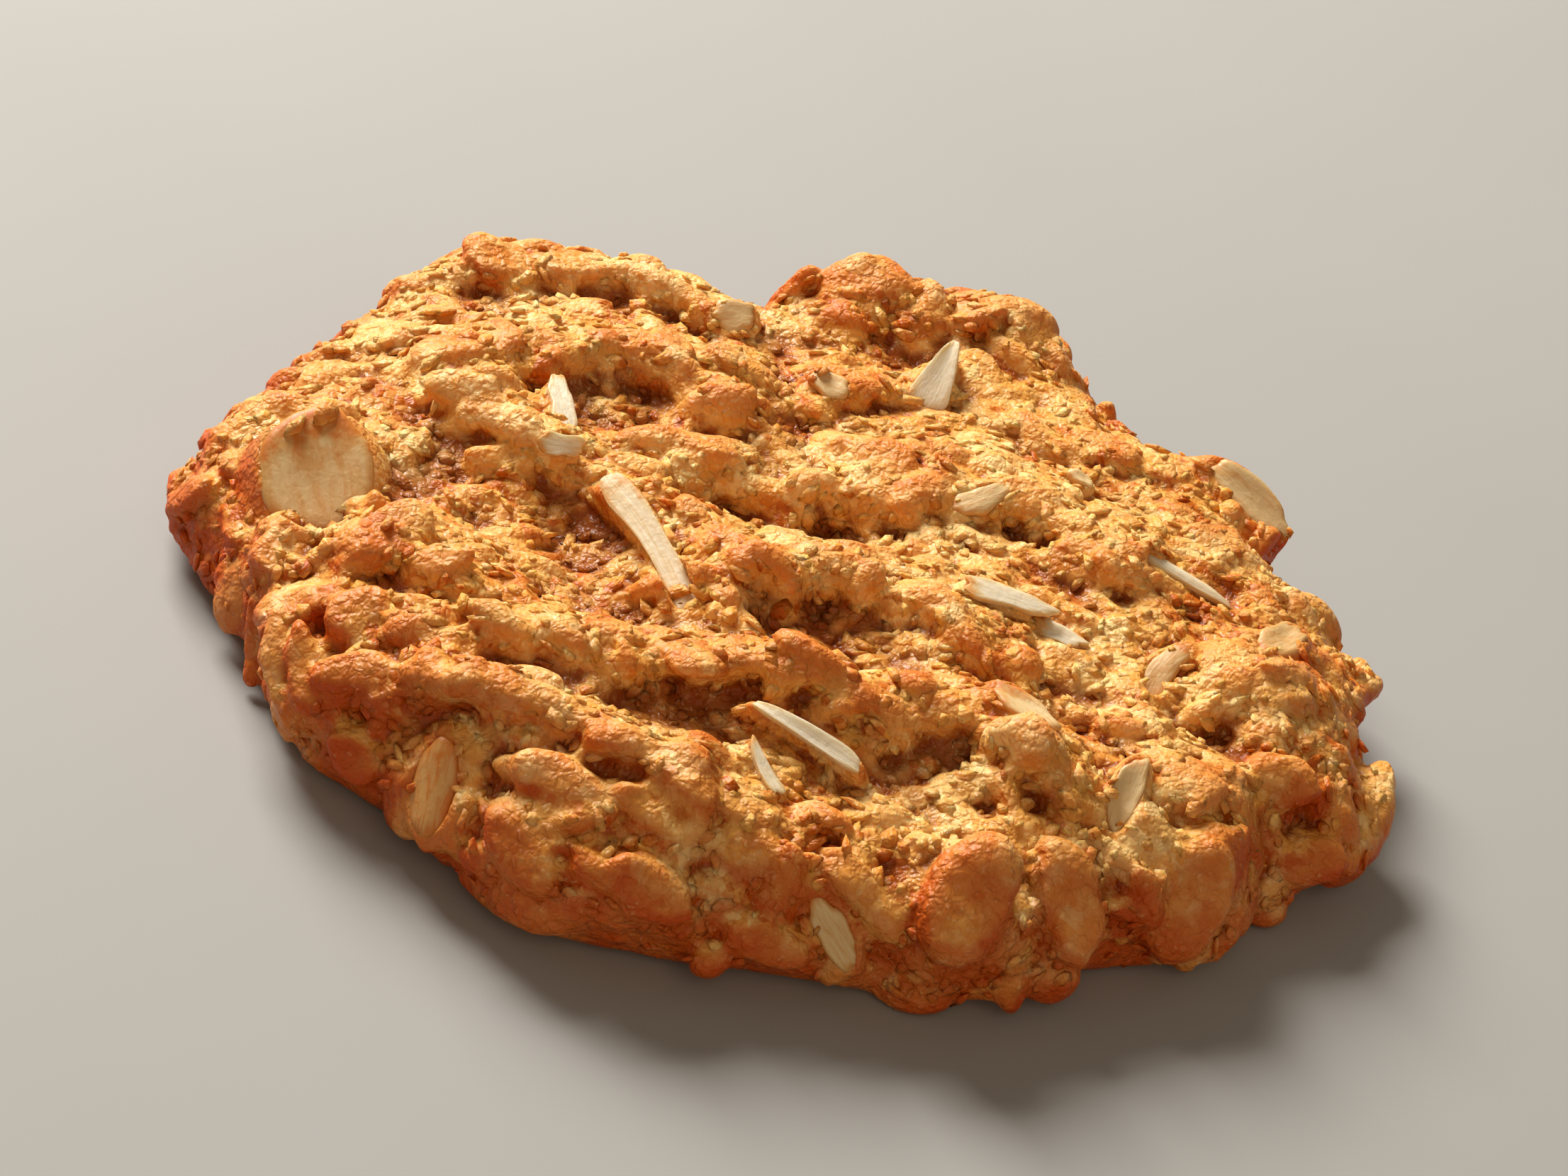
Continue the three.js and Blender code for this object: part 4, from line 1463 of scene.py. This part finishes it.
@dataclass
class Crumbs:
    """Crumbs of dough that cling to the crust and to the bare flakes."""
    scatter: Scatter = Scatter(3600, 1.0, (-0.5, 9.0), 0.6)
    radius: Pair = (0.25, 0.65)
    flake_width: float = 2.0
    share_of_flake: float = 0.1
    most_cover: float = 0.5
    edge: Pair = (0.7, 0.95)
    seed: int = SEED + 50

    def build(self, dough: Piece, flakes: list[Copy], coated: list[Copy]) -> Piece:
        """Strews the crumbs.

        Args:
            dough: the finished dough.
            flakes: how the bare flakes lie.
            coated: how the oats under the crust that show lie, which the crumbs leave plain.

        Returns:
            The crumbs as one piece, marked as the dough under them is.
        """
        draws = random.Random(self.seed)
        copies = []
        sites = Surface(dough).scattered(self.scatter, self.seed)
        cover, _ = Dough.over(np.array([site.place for site in sites]), coated)
        for site, share in zip(sites, cover):
            if share < self.most_cover:
                copies.append(self._crumb(site, draws.uniform(*self.radius), draws))
        for flake in flakes:
            radius = flake.lie.width * self.share_of_flake
            for _ in range(int(flake.lie.width / self.flake_width)):
                copies.append(self._crumb(self._on(flake, draws), radius, draws))
        piece = cast("crumbs", CrumbMould(fineness=1).model(), copies, self.seed)
        settle(piece)
        tree = tree_of(points_of(dough))
        under = [tree.find(point)[1] for point in points_of(piece)]
        # the crumbs take the dough's basin and rim values, so its painted shade reaches them too
        for name in ("basin", "rim"):
            set_attribute(piece, name, attribute_of(dough, name)[under])
        set_attribute(piece, "flake", attribute_of(piece, "tint"))
        set_attribute(piece, "hollow", np.zeros(len(under)))
        select_only(piece)
        bpy.ops.object.shade_smooth()
        return piece

    @staticmethod
    def _crumb(site: Site, radius: float, draws: random.Random) -> Copy:
        """Lays a flattish crumb of about a radius at a site, sunk in a little."""
        return Copy(site, Lie(
            radius * 2, radius, radius * draws.uniform(2.0, 4.0), turn=draws.uniform(0, 360),
            lean=draws.gauss(0, 20), tip=draws.gauss(0, 12), proud=draws.uniform(-0.35, 0.05) * radius,
            ragged=0.25, wrinkle=0.03, tint=draws.uniform(-1, 1)))

    def _on(self, flake: Copy, draws: random.Random) -> Site:
        """Picks a site near a flake's edge."""
        way, out = draws.uniform(0, math.tau), draws.uniform(*self.edge)
        spot = np.array([[math.cos(way) * out], [math.sin(way) * out], [flake.lie.thickness / 2]])
        return Site(flake.spots(*spot)[0], flake.frame()[2], flake.frame()[0])


# The studio

@dataclass(frozen=True)
class Lamp:
    """A soft square lamp: where it hangs, in metres, its side, and its power in watts."""
    name: str
    place: Triple
    side: float
    power: float
    colour: Triple = (1.0, 1.0, 1.0)

    def build(self) -> None:
        """Hangs the lamp, turned to the biscuit."""
        data = bpy.data.lights.new(self.name, "AREA")
        data.size = self.side
        data.energy = self.power
        data.color = self.colour
        lamp = bpy.data.objects.new(self.name, data)
        lamp.location = self.place
        lamp.rotation_euler = (-Vector(self.place)).to_track_quat("-Z", "Y").to_euler()
        bpy.context.collection.objects.link(lamp)


@dataclass(frozen=True)
class Studio:
    """A pale floor under soft light, the key light from behind and a little from the left."""
    floor_side: float = 6.0
    floor_pale: Triple = srgb(156, 153, 148)
    floor_dark: Triple = srgb(150, 147, 141)
    floor_cloud: float = 60.0
    floor_roughness: float = 0.8
    sky: Triple = (1.0, 0.9, 0.78)
    sky_strength: float = 0.2
    lamps: tuple[Lamp, ...] = (
        Lamp("key", (-0.42, 0.5, 0.53), 0.4, 15.5, (1.0, 0.98, 0.95)),
        Lamp("fill", (0.2, -0.7, 0.5), 0.8, 1.8, (1.0, 0.77, 0.54)),
    )

    def build(self) -> None:
        """Lays the floor and hangs the lamps."""
        bpy.ops.mesh.primitive_plane_add(size=self.floor_side)
        floor = bpy.context.object
        floor.name = "floor"
        floor.data.materials.append(self._floor_finish())
        for lamp in self.lamps:
            lamp.build()
        world = bpy.data.worlds.new("studio")
        world.use_nodes = True
        sky = world.node_tree.nodes["Background"]
        sky.inputs["Color"].default_value = (*self.sky, 1)
        sky.inputs["Strength"].default_value = self.sky_strength
        bpy.context.scene.world = world
        bpy.context.scene.view_settings.view_transform = "Standard"

    def _floor_finish(self) -> Material:
        """A matt pale floor, very slightly clouded."""
        material, wiring = finish("studio_floor")
        where = wiring.add("ShaderNodeTexCoord").outputs["Object"]
        colour = wiring.mixed(wiring.noise(self.floor_cloud, 3.0, where), self.floor_pale, self.floor_dark)
        wiring.shade({"Base Color": colour, "Roughness": self.floor_roughness})
        return material


def report(piece: Piece, material: Material) -> None:
    """Dresses a finished piece, lets it ride on the biscuit's body and reports it.

    Args:
        piece: the piece.
        material: its finish.
    """
    piece.data.materials.clear()
    piece.data.materials.append(material)
    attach(piece, "root")
    triangles = sum(len(face.vertices) - 2 for face in piece.data.polygons)
    LOG.info("%s: %d triangles, finish %s", piece.name, triangles, material.name)


def main() -> None:
    """Builds the biscuit and its studio."""
    logging.basicConfig(level=logging.INFO, format="%(message)s")
    effects = Effects()
    biscuit = Dough()
    dough = biscuit.build(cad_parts["biscuit"])
    baked = DoughFinish().material(effects)
    report(dough, baked)
    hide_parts("biscuit")
    report(Crumbs().build(dough, biscuit.bare[Kind.OAT], biscuit.coated), baked)
    report(BareOats().build(biscuit.bare[Kind.OAT]), OAT_FINISH.material(effects))
    report(Coconut().build(biscuit.bare[Kind.COCONUT]), COCONUT_FINISH.material(effects))
    CAMERA.build()
    Studio().build()


if __name__ == "__main__":
    main()
